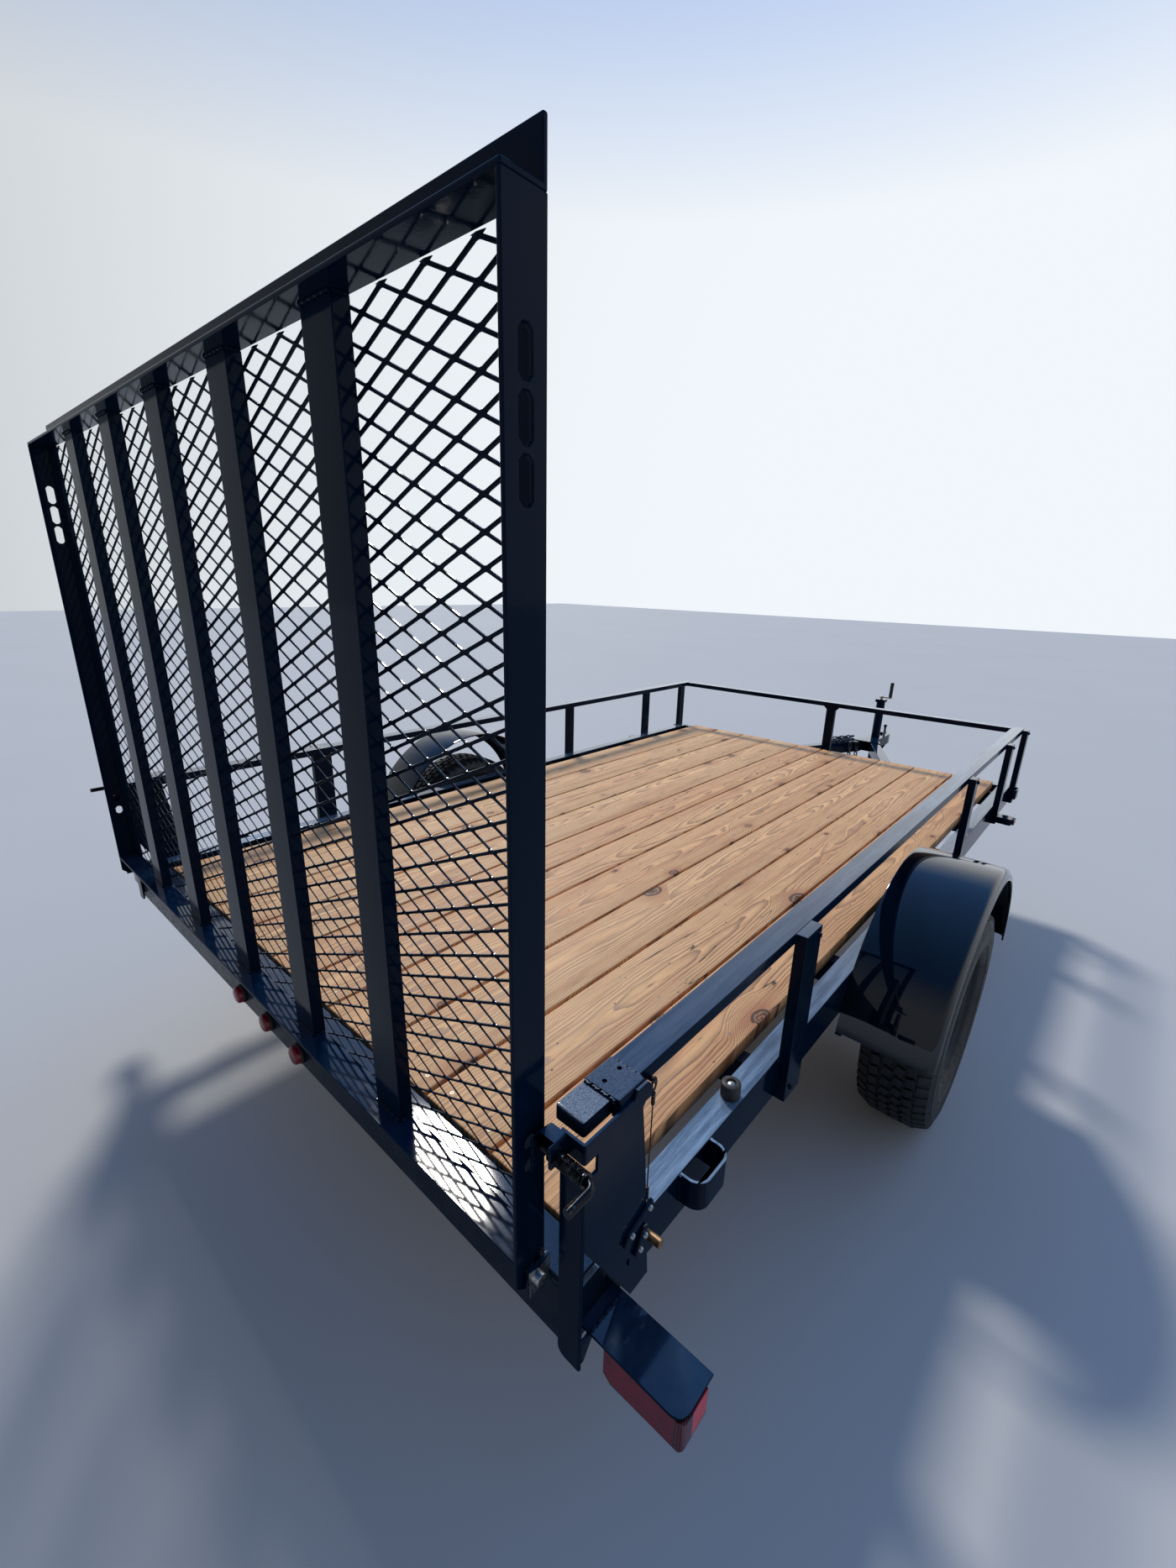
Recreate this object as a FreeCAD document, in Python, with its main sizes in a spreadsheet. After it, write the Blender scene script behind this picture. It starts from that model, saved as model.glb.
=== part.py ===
import FreeCAD
import Part
import Sketcher
import math
import os
import re

# Utility trailer with one axle, a plank deck, low side rails and a tall mesh ramp gate.
# X is to the right, Y is forward towards the tow vehicle, Z is up from the ground.
# Places are set out from the gate's front plane, and every sub-part is moved back at the
# end, so that the origin lies on the ground under the middle.

DIMENSIONS = [
    # name, value in mm
    ("deck_top", 620),
    ("board_thick", 38),
    ("board_wide", 184),
    ("board_narrow", 140),
    ("board_gap", 8.7),
    ("deck_right", 948),
    ("deck_rear", 70),
    ("deck_front", 3324),
    ("frame_half", 1023),
    ("steel", 6),
    ("flange_wide", 51),
    ("flange_drop", 16),
    ("web_tall", 102),
    ("rear_member_tall", 127),
    ("rear_member_lip", 62),
    ("rear_member_drop", 3),
    ("rear_member_start", 2),
    ("cross_first", 84),
    ("cross_last", 3240),
    ("cross_tall", 76),
    ("cross_lip", 40),
    ("rail_above_deck", 290),
    ("rail_wide", 51),
    ("rail_tall", 25),
    ("tube_wall", 3),
    ("rail_start", 12),
    ("collar_start", 72),
    ("collar_end", 128),
    ("collar_hole", 3.5),
    ("plate", 5),
    ("stand_off", 15),
    ("post_deep", 51),
    ("post_wide", 25),
    ("post_foot", 80),
    ("post_first", 2185),
    ("post_second", 2930),
    ("post_gusset", 26),
    ("front_post_at", 45),
    ("rear_post_at", 690),
    ("rear_post_deep", 76),
    ("gate_side_room", 56),
    ("gate_low", 667),
    ("gate_tall", 1221),
    ("gate_deep", 54),
    ("gate_lip", 48),
    ("gate_skirt", 44),
    ("gate_bar_wide", 76),
    ("gate_bar_deep", 25),
    ("gate_bar_pitch", 315),
    ("gate_bar_shift", 30),
    ("ear_drop", 29),
    ("ear_corner", 16),
    ("mesh_long", 84.7),
    ("mesh_short", 37.5),
    ("mesh_strand", 4.6),
    ("mesh_layer", 1.7),
    ("mesh_inset", 10),
    ("mesh_cross_at", 786),
    ("mesh_cross_up", 1143),
    ("pivot_back", 27),
    ("pivot_high", 639),
    ("pivot_radius", 9),
    ("pivot_clear", 0.8),
    ("slot_tall", 45),
    ("slot_wide", 18),
    ("slot_back", 27),
    ("corner_lap", 23),
    ("corner_foot", 140),
    ("corner_high", 282),
    ("latch_up", 260),
    ("latch_back", 24),
    ("latch_radius", 6.5),
    ("latch_bend", 1075),
    ("latch_end", 72),
    ("wheel_at", 1478),
    ("wheel_centre", 1155),
    ("tyre_radius", 344.5),
    ("tyre_wide", 205),
    ("rim_radius", 190.5),
    ("rim_wide", 140),
    ("rim_flange", 12),
    ("rim_wall", 4),
    ("hub_radius", 42),
    ("spindle_radius", 17),
    ("axle_radius", 30),
    ("axle_half", 1040),
    ("fender_radius", 455),
    ("fender_high", 370),
    ("fender_wide", 243),
    ("fender_skin", 3),
    ("fender_lip", 34),
    ("fender_start", 10),
    ("spring_half", 318),
    ("spring_x", 990),
    ("spring_wide", 45),
    ("spring_leaf", 8),
    ("spring_arch", 41),
    ("spring_eye", 15),
    ("tongue_apex", 4455),
    ("tongue_angle", 25),
    ("tongue_tall", 76),
    ("tongue_wide", 60),
    ("tongue_back", 2960),
    ("tongue_neck", 46),
    ("ball_at", 4620),
    ("ball_radius", 25.4),
    ("ball_wall", 22),
    ("nose_reach", 60),
    ("coupler_tail", 4240),
    ("jack_at", 4445),
    ("jack_radius", 29),
    ("jack_top", 770),
    ("jack_low", 330),
    ("jack_leg", 24),
    ("jack_foot", 75),
    ("chain_pitch", 31.5),
    ("chain_wire", 7),
    ("chain_hole_long", 32),
    ("chain_hole_wide", 11),
    ("shelf_drop", 80),
    ("shelf_start", 16),
    ("shelf_end", 95),
    ("shelf_reach", 160),
    ("lamp_inner", 24),
    ("lamp_tall", 65),
    ("lamp_start", 18),
    ("lamp_end", 78),
    ("lamp_back", 12),
    ("marker_pitch", 162),
    ("marker_high", 520),
    ("marker_radius", 25),
    ("marker_deep", 20),
    ("side_marker_reach", 66),
    ("side_marker_long", 70),
    ("side_marker_tall", 30),
    ("pocket_at", 324),
    ("pocket_long", 92),
    ("pocket_deep", 40),
    ("pocket_tall", 60),
    ("pocket_corner", 14),
    ("bumper_at", 490),
    ("bumper_radius", 20),
    ("bumper_tall", 32),
]

BOARDS = ["wide", "wide", "wide", "wide", "narrow", "narrow", "wide", "wide", "wide", "wide"]
CROSS_COUNT = 7
GATE_BAR_PLACES = [-2, -1, 0, 1, 2]
GATE_SLOTS = [
    # height above the gate's foot, height of the slot
    (165, 24),
    (205, 24),
    (995, 45),
    (1047, 45),
    (1099, 45),
]
WHEEL_SIDES = 36
ROUND_SIDES = 12

doc = FreeCAD.newDocument("utility_trailer")
sizes = doc.addObject("Spreadsheet::Sheet", "sizes")
for row, (name, value) in enumerate(DIMENSIONS, start=1):
    sizes.set("A%d" % row, name)
    sizes.set("B%d" % row, str(value))
    sizes.setAlias("B%d" % row, name)
doc.recompute()

ALIASES = {name for name, value in DIMENSIONS}
nodes = []


def formula(text):
    return re.sub(r"[a-z_]+", lambda word: "sizes." + word.group(0) if word.group(0) in ALIASES else word.group(0),
                  str(text))


def value_of(name):
    return float(sizes.get(name))


def bind(thing, **settings):
    for prop, text in settings.items():
        thing.setExpression(prop.replace("_", "."), formula(text))
    return thing


def place(thing, x=0, y=0, z=0):
    for letter, text in zip("xyz", (x, y, z)):
        thing.setExpression("Placement.Base." + letter, formula(text))
    return thing


def box(name, x, y, z):
    """Box between two faces on each axis, each given as a pair of formulas."""
    thing = doc.addObject("Part::Box", name)
    bind(thing, Length="(%s) - (%s)" % (x[1], x[0]), Width="(%s) - (%s)" % (y[1], y[0]),
         Height="(%s) - (%s)" % (z[1], z[0]))
    return place(thing, x[0], y[0], z[0])


def prism(name, axis, at, radius, length, sides=ROUND_SIDES):
    """Straight-sided bar along +X, +Y or +Z, whose flats lie at the radius."""
    thing = doc.addObject("Part::Prism", name)
    thing.Polygon = sides
    bind(thing, Circumradius="(%s) / cos(180 / %d)" % (radius, sides), Height=length)
    turns = {"x": ((0, 1, 0), 90), "y": ((1, 0, 0), -90), "z": ((0, 0, 1), 0)}
    direction, angle = turns[axis]
    flat_side_down = FreeCAD.Rotation(FreeCAD.Vector(0, 0, 1), 180.0 / sides)
    thing.Placement.Rotation = FreeCAD.Rotation(FreeCAD.Vector(*direction), angle) * flat_side_down
    return place(thing, *at)


def bore(name, at, radius, length):
    """Round hole or journal along +X, for what turns about it."""
    thing = doc.addObject("Part::Cylinder", name)
    bind(thing, Radius=radius, Height=length)
    thing.Placement.Rotation = FreeCAD.Rotation(FreeCAD.Vector(0, 1, 0), 90)
    return place(thing, *at)


def cut(name, base, *tools):
    thing = doc.addObject("Part::Cut", name)
    thing.Base = base
    thing.Tool = tools[0] if len(tools) == 1 else group(name + "_tools", tools)
    return thing


def group(name, things):
    thing = doc.addObject("Part::Compound", name)
    thing.Links = list(things)
    return thing


def fuse(name, *things):
    thing = doc.addObject("Part::MultiFuse", name)
    thing.Shapes = list(things)
    thing.Refine = True
    return thing


def mirrored(thing):
    """The same piece on the other side of the trailer."""
    other = doc.addObject("Part::Mirroring", thing.Name + "_opposite")
    other.Source = thing
    other.Base = FreeCAD.Vector(0, 0, 0)
    other.Normal = FreeCAD.Vector(1, 0, 0)
    return other


def both_sides(*things):
    return [side for thing in things for side in (thing, mirrored(thing))]


def outline(name, plane, points, at=(0, 0, 0)):
    """Closed sketch of straight lines whose corners are bound to the sheet."""
    sketch = doc.addObject("Sketcher::SketchObject", name)
    turn = {"xz": FreeCAD.Rotation(FreeCAD.Vector(1, 0, 0), 90),
            "yz": FreeCAD.Rotation(FreeCAD.Vector(1, 1, 1), 120),
            "xy": FreeCAD.Rotation()}[plane]
    sketch.Placement.Rotation = turn
    place(sketch, *at)
    count = len(points)
    start = [(100.0 * math.cos(2 * math.pi * i / count), 100.0 * math.sin(2 * math.pi * i / count))
             for i in range(count)]
    corners = [FreeCAD.Vector(x, y, 0) for x, y in start]
    sketch.addGeometry([Part.LineSegment(corners[i], corners[(i + 1) % count]) for i in range(count)], False)
    rules = [Sketcher.Constraint("Coincident", i, 2, (i + 1) % count, 1) for i in range(count)]
    for i in range(count):
        rules.append(Sketcher.Constraint("DistanceX", -1, 1, i, 1, start[i][0]))
        rules.append(Sketcher.Constraint("DistanceY", -1, 1, i, 1, start[i][1]))
    sketch.addConstraint(rules)
    for i, (across, up) in enumerate(points):
        sketch.setExpression("Constraints[%d]" % (count + 2 * i), formula(across))
        sketch.setExpression("Constraints[%d]" % (count + 2 * i + 1), formula(up))
    return sketch


def slab(name, sketch, direction, length, start=0):
    """Extrusion of a sketch along an axis."""
    thing = doc.addObject("Part::Extrusion", name)
    thing.Base = sketch
    thing.DirMode = "Custom"
    thing.Dir = FreeCAD.Vector(*direction)
    thing.Solid = True
    bind(thing, LengthFwd=length, LengthRev="-(%s)" % start)
    return thing


def wheel_ring(name, rows):
    """Part::Feature about the axle: a closed profile of (x from the wheel's middle, radius), in flat sides."""
    middle = value_of("wheel_centre")
    axle_at = value_of("wheel_at")
    axle_high = value_of("tyre_radius")
    corner = 1 / math.cos(math.pi / WHEEL_SIDES)
    stations = []
    for side in range(WHEEL_SIDES):
        angle = 2 * math.pi * (side + 0.5) / WHEEL_SIDES
        stations.append([FreeCAD.Vector(middle + across, axle_at + radius * corner * math.sin(angle),
                                        axle_high - radius * corner * math.cos(angle)) for across, radius in rows])
    faces = []
    for side in range(WHEEL_SIDES):
        near, far = stations[side - 1], stations[side]
        for i in range(len(rows)):
            corners = [near[i - 1], near[i], far[i], far[i - 1]]
            faces.append(Part.Face(Part.makePolygon(corners + corners[:1])))
    solid = Part.makeSolid(Part.makeShell(faces))
    if solid.Volume < 0:
        solid.reverse()
    thing = doc.addObject("Part::Feature", name)
    thing.Shape = solid
    return thing


def node(label, *things):
    """A sub-part of the trailer: moved back so that the origin is under its middle."""
    thing = doc.addObject("Part::Compound", label)
    thing.Label = label
    thing.Links = list(things)
    thing.setExpression("Placement.Base.y", formula("-(ball_at + nose_reach - latch_end) / 2"))
    nodes.append(thing)
    return thing


# Places that several pieces share, as formulas on the sheet
WEB_IN = "frame_half - steel"
FLANGE_TOP = "deck_top - flange_drop"
FRAME_LOW = "deck_top - flange_drop - web_tall"
FRAME_FRONT = "deck_front + flange_wide"
RAIL_TOP = "deck_top + rail_above_deck"
RAIL_LOW = "deck_top + rail_above_deck - rail_tall"
GATE_HIGH = "gate_low + gate_tall"
GATE_HALF = "frame_half - gate_side_room"
INSIDE = "frame_half - gate_side_room - steel"
CORNER_IN = "frame_half - corner_lap"
PLATE_IN = "frame_half + stand_off"
PLATE_OUT = "frame_half + stand_off + plate"
NOSE = "ball_at + nose_reach"

# Frame: two side members, front and rear members, and floor cross members
side = cut("side_member",
           box("side_block", (WEB_IN + " - flange_wide + steel", "frame_half"), ("0", FRAME_FRONT),
               (FRAME_LOW, FLANGE_TOP)),
           box("side_hollow", ("0", WEB_IN), ("-10", FRAME_FRONT + " + 10"),
               (FRAME_LOW + " - 10", FLANGE_TOP + " - steel")))
sides = both_sides(side)
node("side_members", *sides)

front = cut("front_angle",
            box("front_block", ("-(" + WEB_IN + ")", WEB_IN), ("deck_front", FRAME_FRONT),
                (FRAME_LOW, FLANGE_TOP)),
            box("front_hollow", ("-frame_half", "frame_half"), ("0", FRAME_FRONT + " - steel"),
                (FRAME_LOW + " - 10", FLANGE_TOP + " - steel")), *sides)
node("front_member", front)

REAR_TOP = "deck_top - rear_member_drop"
REAR_END = "rear_member_start + rear_member_lip"
rear = cut("rear_channel",
           box("rear_block", ("-(" + WEB_IN + ")", WEB_IN), ("rear_member_start", REAR_END),
               (REAR_TOP + " - rear_member_tall", REAR_TOP)),
           box("rear_hollow", ("-frame_half", "frame_half"),
               ("rear_member_start + steel", REAR_END + " + 10"),
               (REAR_TOP + " - rear_member_tall + steel", REAR_TOP + " - steel")), *sides)
node("rear_member", rear)

CROSS_TOP = "deck_top - board_thick"
cross_members = []
for number in range(CROSS_COUNT):
    at = "cross_first + %d * (cross_last - cross_first) / %d" % (number, CROSS_COUNT - 1)
    cross_members.append(cut(
        "cross_%d" % number,
        box("cross_block_%d" % number, ("-(" + WEB_IN + ")", WEB_IN), (at, at + " + cross_lip"),
            (CROSS_TOP + " - cross_tall", CROSS_TOP)),
        box("cross_hollow_%d" % number, ("-frame_half", "frame_half"), (at + " + steel", at + " + cross_lip + 10"),
            (CROSS_TOP + " - cross_tall - 10", CROSS_TOP + " - steel"))))
node("floor_cross_members", *cross_members)

# Deck: ten planks laid lengthwise, set out from the right edge
boards = []
edge = "deck_right"
for number, width in enumerate(BOARDS):
    left = edge + " - board_" + width
    boards.append(box("board_%d" % number, (left, edge), ("deck_rear", "deck_front"),
                      ("deck_top - board_thick", "deck_top")))
    edge = left + " - board_gap"
node("deck_boards", *boards)


# Top rails: rectangular tube laid flat, joined at the front corners
def tube(name, x, y, z, along, closed=None):
    """Rectangular tube: a block with a hollow that runs out of both ends, or of all but the closed one."""
    spans = {"x": x, "y": y, "z": z}
    inner = {letter: ("%s + tube_wall" % span[0], "%s - tube_wall" % span[1]) for letter, span in spans.items()}
    first = "%s + tube_wall" if closed == "start" else "%s - 10"
    last = "%s - tube_wall" if closed == "end" else "%s + 10"
    inner[along] = (first % spans[along][0], last % spans[along][1])
    return cut(name, box(name + "_block", x, y, z), box(name + "_hollow", inner["x"], inner["y"], inner["z"]))


RAIL_IN = "frame_half - rail_wide"
side_rail = tube("side_rail", (RAIL_IN, "frame_half"), ("rail_start", FRAME_FRONT), (RAIL_LOW, RAIL_TOP), "y",
                 closed="start")
node("top_side_rails", *both_sides(side_rail))
front_rail = tube("front_rail", ("-(" + RAIL_IN + ")", RAIL_IN), (FRAME_FRONT + " - rail_wide", FRAME_FRONT),
                  (RAIL_LOW, RAIL_TOP), "x")
node("top_front_rail", front_rail)

# Posts: tube on the outside of the frame, from below the flange to the rail
POST_OUT = "frame_half + post_wide"
posts = []
for number, at in enumerate(("post_first", "post_second", "deck_front + flange_wide - post_deep / 2")):
    posts.append(tube("post_%d" % number, ("frame_half", POST_OUT),
                      (at + " - post_deep / 2", at + " + post_deep / 2"),
                      (FLANGE_TOP + " - post_foot", RAIL_TOP + " - 4"), "z", closed="end"))
node("side_posts", *both_sides(*posts))

rear_post = tube("rear_post", ("frame_half", POST_OUT),
                 ("rear_post_at - rear_post_deep / 2", "rear_post_at + rear_post_deep / 2"),
                 (FRAME_LOW, RAIL_TOP), "z", closed="end")
node("rear_posts", *both_sides(rear_post))

front_post = tube("front_post_tube", ("front_post_at - post_deep / 2", "front_post_at + post_deep / 2"),
                  (FRAME_FRONT + " - rail_wide / 2 - post_wide / 2", FRAME_FRONT + " - rail_wide / 2 + post_wide / 2"),
                  (FLANGE_TOP, RAIL_LOW), "z")
gussets = []
for number, sign in enumerate((-1, 1)):
    edge_x = "front_post_at + (%d) * post_deep / 2" % sign
    gusset = outline("post_gusset_outline_%d" % number, "xz", [
        (edge_x, RAIL_LOW), (edge_x, RAIL_LOW + " - post_gusset"),
        (edge_x + " + (%d) * post_gusset" % sign, RAIL_LOW)], at=("0", FRAME_FRONT + " - rail_wide / 2 - 3", "0"))
    gussets.append(slab("post_gusset_plate_%d" % number, gusset, (0, 1, 0), "6"))
node("front_post", front_post, *gussets)

# Rear corners: a bent plate that stands off the frame and is welded to the rail's collar
corner_flange = box("corner_flange", (CORNER_IN, PLATE_IN), ("-plate", "0"),
                    ("deck_top - corner_foot", "deck_top + corner_high"))
corner_side = slab("corner_side", outline("corner_outline", "yz", [
    ("-plate", "deck_top - corner_foot"), ("0", "deck_top - corner_foot"), ("0", "deck_top + 95"),
    ("14", "deck_top + 70"), ("115", "deck_top - 113"), ("160", "deck_top - 111"),
    ("133", "deck_top + 149"), ("119", "deck_top + 255"), ("124", "deck_top + 262"), ("140", "deck_top + 262"),
    ("140", "deck_top + 280"), ("128", "deck_top + 294"), ("104", "deck_top + 294"),
    ("96", "deck_top + corner_high"), ("-plate", "deck_top + corner_high")]),
    (1, 0, 0), PLATE_OUT, PLATE_IN)
corner = cut("corner", fuse("corner_bent", corner_flange, corner_side),
             box("corner_window", (CORNER_IN + " - 10", PLATE_OUT + " + 10"), ("-plate - 10", "22"),
                 ("deck_top + 221", "deck_top + 250")),
             box("corner_slot", (PLATE_IN + " - 10", PLATE_OUT + " + 10"), ("100", "106"),
                 ("deck_top - 40", "deck_top - 24")))
node("corner_plates", *both_sides(corner))

collar = cut("collar",
             box("collar_block", (RAIL_IN, PLATE_IN), ("collar_start", "collar_end"),
                 (RAIL_LOW + " - 3", RAIL_TOP + " + plate")),
             box("collar_hollow", (RAIL_IN + " - 10", "frame_half"), ("collar_start - 10", "collar_end + 10"),
                 (RAIL_LOW + " - 10", RAIL_TOP)),
             *[prism("collar_hole_%d" % i, "z", (RAIL_IN + " + rail_wide / 2", "collar_start + %d" % along,
                                                 RAIL_TOP + " - 1"), "collar_hole", "plate + 2", 8)
               for i, along in enumerate((14, 47))])
node("rail_end_caps", *both_sides(collar))

# Lift assist: a taut wire from the rail down to two links on the corner plate, and a pin on the web
WIRE_X = "frame_half + 12"
wire = prism("wire", "z", (WIRE_X, "154", "deck_top + 40"), "1.6", "rail_above_deck - 55", 6)
wire_eye = box("wire_eye", ("frame_half", WIRE_X + " + 4"), ("148", "160"),
               ("deck_top + rail_above_deck - 22", "deck_top + rail_above_deck - 10"))
clamp = box("wire_clamp", (WIRE_X + " - 4", PLATE_OUT), ("147.5", "160"), ("deck_top + 28", "deck_top + 58"))
node("lift_wires", *both_sides(fuse("wire_and_ends", wire, wire_eye, clamp)))
links = []
LINK_CORNERS = [
    ((84, 20), (92, 36), (152, 60), (158, 44)),
    ((113, -26), (127, -30), (146, 12), (133, 18)),
]
for number, corners in enumerate(LINK_CORNERS):
    bar = outline("link_outline_%d" % number, "yz", [(str(y), "deck_top + (%d)" % z) for y, z in corners])
    links.append(slab("link_%d" % number, bar, (1, 0, 0), PLATE_OUT + " + 6", PLATE_OUT))
node("lift_links", *both_sides(*links))
lift_pin = prism("lift_pin", "x", ("frame_half", "170", "deck_top - 46"), "8", "36", 10)
node("lift_pins", *both_sides(lift_pin))

# Gate: side angles with ears, inner tubes, top and bottom angles, and the mesh


def slot(name, middle, tall):
    """Long hole with rounded ends through a side bar of the gate."""
    half = "slot_wide / 2"
    quarter = [(half, "%s / 2 - 0.65 * %s" % (tall, half)), ("0.4 * " + half, "%s / 2" % tall)]
    corners = [(1, 1, quarter), (-1, 1, quarter[::-1]), (-1, -1, quarter), (1, -1, quarter[::-1])]
    points = [("-slot_back + (%d) * (%s)" % (y_sign, across), "%s + (%d) * (%s)" % (middle, z_sign, high))
              for y_sign, z_sign, rows in corners for across, high in rows]
    return slab(name, outline(name + "_outline", "yz", points), (1, 0, 0), GATE_HALF + " + 10", INSIDE + " - 10")


EAR_LOW = "pivot_high - ear_drop"
EAR_SIDE = "pivot_high - ear_drop + ear_corner"
side_web = slab("side_web", outline("side_web_outline", "yz", [
    ("-gate_deep", GATE_HIGH), ("-gate_deep", EAR_SIDE), ("-gate_deep + ear_corner", EAR_LOW),
    ("-ear_corner", EAR_LOW), ("0", EAR_SIDE), ("0", GATE_HIGH)]), (1, 0, 0), GATE_HALF, INSIDE)
side_flange = box("side_flange", (GATE_HALF + " - gate_deep", INSIDE), ("-steel", "0"),
                  ("gate_low + steel", GATE_HIGH))
side_angle = cut("side_angle", fuse("side_angle_solid", side_web, side_flange),
                 bore("pivot_hole", (INSIDE + " - 10", "-pivot_back", "pivot_high"), "pivot_radius + pivot_clear",
                      "steel + 20"),
                 *[slot("slot_%d" % i, "gate_low + %d" % up, tall) for i, (up, tall) in enumerate(GATE_SLOTS)])
node("gate_side_bars", *both_sides(side_angle))

inner_bars = [tube("gate_bar_%d" % i, ("%d * gate_bar_pitch - gate_bar_shift - gate_bar_wide / 2" % k,
                                       "%d * gate_bar_pitch - gate_bar_shift + gate_bar_wide / 2" % k),
                   ("-gate_bar_deep", "0"), ("gate_low + steel", GATE_HIGH), "z")
              for i, k in enumerate(GATE_BAR_PLACES)]
node("gate_inner_bars", *inner_bars)

top_bar = cut("gate_top",
              box("gate_top_block", ("-(" + GATE_HALF + ")", GATE_HALF), ("-gate_deep", "0"),
                  (GATE_HIGH, GATE_HIGH + " + steel + gate_lip")),
              box("gate_top_hollow", ("-frame_half", "frame_half"), ("-gate_deep - 10", "-steel"),
                  (GATE_HIGH + " + steel", GATE_HIGH + " + 2 * gate_lip")))
node("gate_top_bar", top_bar)

bottom_bar = cut("gate_bottom",
                 box("gate_bottom_block", ("-(" + INSIDE + ")", INSIDE), ("-gate_deep", "0"),
                     ("gate_low - gate_skirt", "gate_low + steel")),
                 box("gate_bottom_hollow", ("-frame_half", "frame_half"), ("-gate_deep - 10", "-steel"),
                     ("gate_low - gate_skirt - 10", "gate_low")))
node("gate_bottom_bar", bottom_bar)


# The mesh is two layers of parallel strands that lean opposite ways and cross in diamonds
def strand_layer(name, lean, back):
    """Part::Feature of slanting strands, trimmed to the mesh's rectangle."""
    half = value_of("frame_half") - value_of("gate_side_room") - value_of("mesh_inset")
    low = value_of("gate_low")
    tall = value_of("gate_tall")
    long_way = value_of("mesh_long")
    short_way = value_of("mesh_short")
    strand = value_of("mesh_strand")
    layer = value_of("mesh_layer")
    slope = math.atan2(short_way, long_way)
    reach = 2 * half / math.cos(slope) + 2 * tall
    panel = Part.makeBox(2 * half, layer * 3, tall, FreeCAD.Vector(-half, back - layer, low))
    rise = 2 * half * math.tan(slope)
    crossing = low + value_of("mesh_cross_up") - lean * value_of("mesh_cross_at") * math.tan(slope)
    first = (crossing - (low - rise / 2)) % short_way
    pieces = []
    count = int((tall + rise) / short_way) + 1
    for i in range(count):
        bar = Part.makeBox(reach, layer, strand, FreeCAD.Vector(-reach / 2, back, -strand / 2))
        turn = FreeCAD.Rotation(FreeCAD.Vector(0, 1, 0), -lean * math.degrees(slope))
        middle = FreeCAD.Vector(0, 0, low - rise / 2 + first + i * short_way)
        bar.Placement = FreeCAD.Placement(middle, turn)
        piece = bar.common(panel)
        pieces.extend(solid for solid in piece.Solids if solid.BoundBox.DiagonalLength > 2 * strand)
    thing = doc.addObject("Part::Feature", name)
    thing.Shape = Part.makeCompound(pieces)
    return thing


node("gate_mesh_rising", strand_layer("rising_strands", 1, 0.0))
node("gate_mesh_falling", strand_layer("falling_strands", -1, value_of("mesh_layer")))

# Gate hinge: a bolt in a tab that stands out of the rear member
hinge_tab = box("hinge_tab", (GATE_HALF + " + 4", GATE_HALF + " + 10"), ("-pivot_back - 14", "rear_member_start"),
                (FLANGE_TOP, "pivot_high + 15"))
hinge_bolt = prism("hinge_bolt", "x", (INSIDE + " + 0.5", "-pivot_back", "pivot_high"), "pivot_radius",
                   "steel + 22")
node("gate_hinges", *both_sides(fuse("hinge", hinge_tab, hinge_bolt)))

# Gate latches: a spring pin with a bent handle, in a strap and a bushing on the corner plate
LATCH_HIGH = "deck_top + latch_up"
latch_ear = box("latch_ear", (GATE_HALF + " + 12", GATE_HALF + " + 17"), ("-latch_back - 14", "-plate"),
                (LATCH_HIGH + " - 26", LATCH_HIGH + " + 22"))
latch_strap = box("latch_strap", (GATE_HALF + " + 12", CORNER_IN + " + 14"), ("-latch_back - 2", "-plate"),
                  (LATCH_HIGH + " + 17", LATCH_HIGH + " + 22"))
latch_bush = box("latch_bush", (CORNER_IN + " + 9", CORNER_IN + " + 14"), ("-latch_back - 12", "-plate"),
                 (LATCH_HIGH + " - 12", LATCH_HIGH + " + 22"))
latch_bore = prism("latch_bore", "x", (CORNER_IN + " - 30", "-latch_back", LATCH_HIGH), "latch_radius + 0.7", "120")
latch_bracket = cut("latch_bracket", fuse("latch_bracket_solid", latch_ear, latch_strap, latch_bush), latch_bore)
node("latch_brackets", *both_sides(latch_bracket))

latch_rod = prism("latch_rod", "x", (GATE_HALF + " + 5.5", "-latch_back", LATCH_HIGH), "latch_radius",
                  "latch_bend + latch_radius - (" + GATE_HALF + " + 5.5)")
latch_handle = prism("latch_handle", "y", ("latch_bend", "-latch_end", LATCH_HIGH), "latch_radius",
                     "latch_end - latch_back")
latch_spring = prism("latch_spring", "x", (CORNER_IN + " + 15", "-latch_back", LATCH_HIGH), "latch_radius + 4",
                     "latch_bend - (" + CORNER_IN + ") - 25")
node("latch_pins", *both_sides(fuse("latch_pin", latch_rod, latch_handle, latch_spring)))

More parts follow.
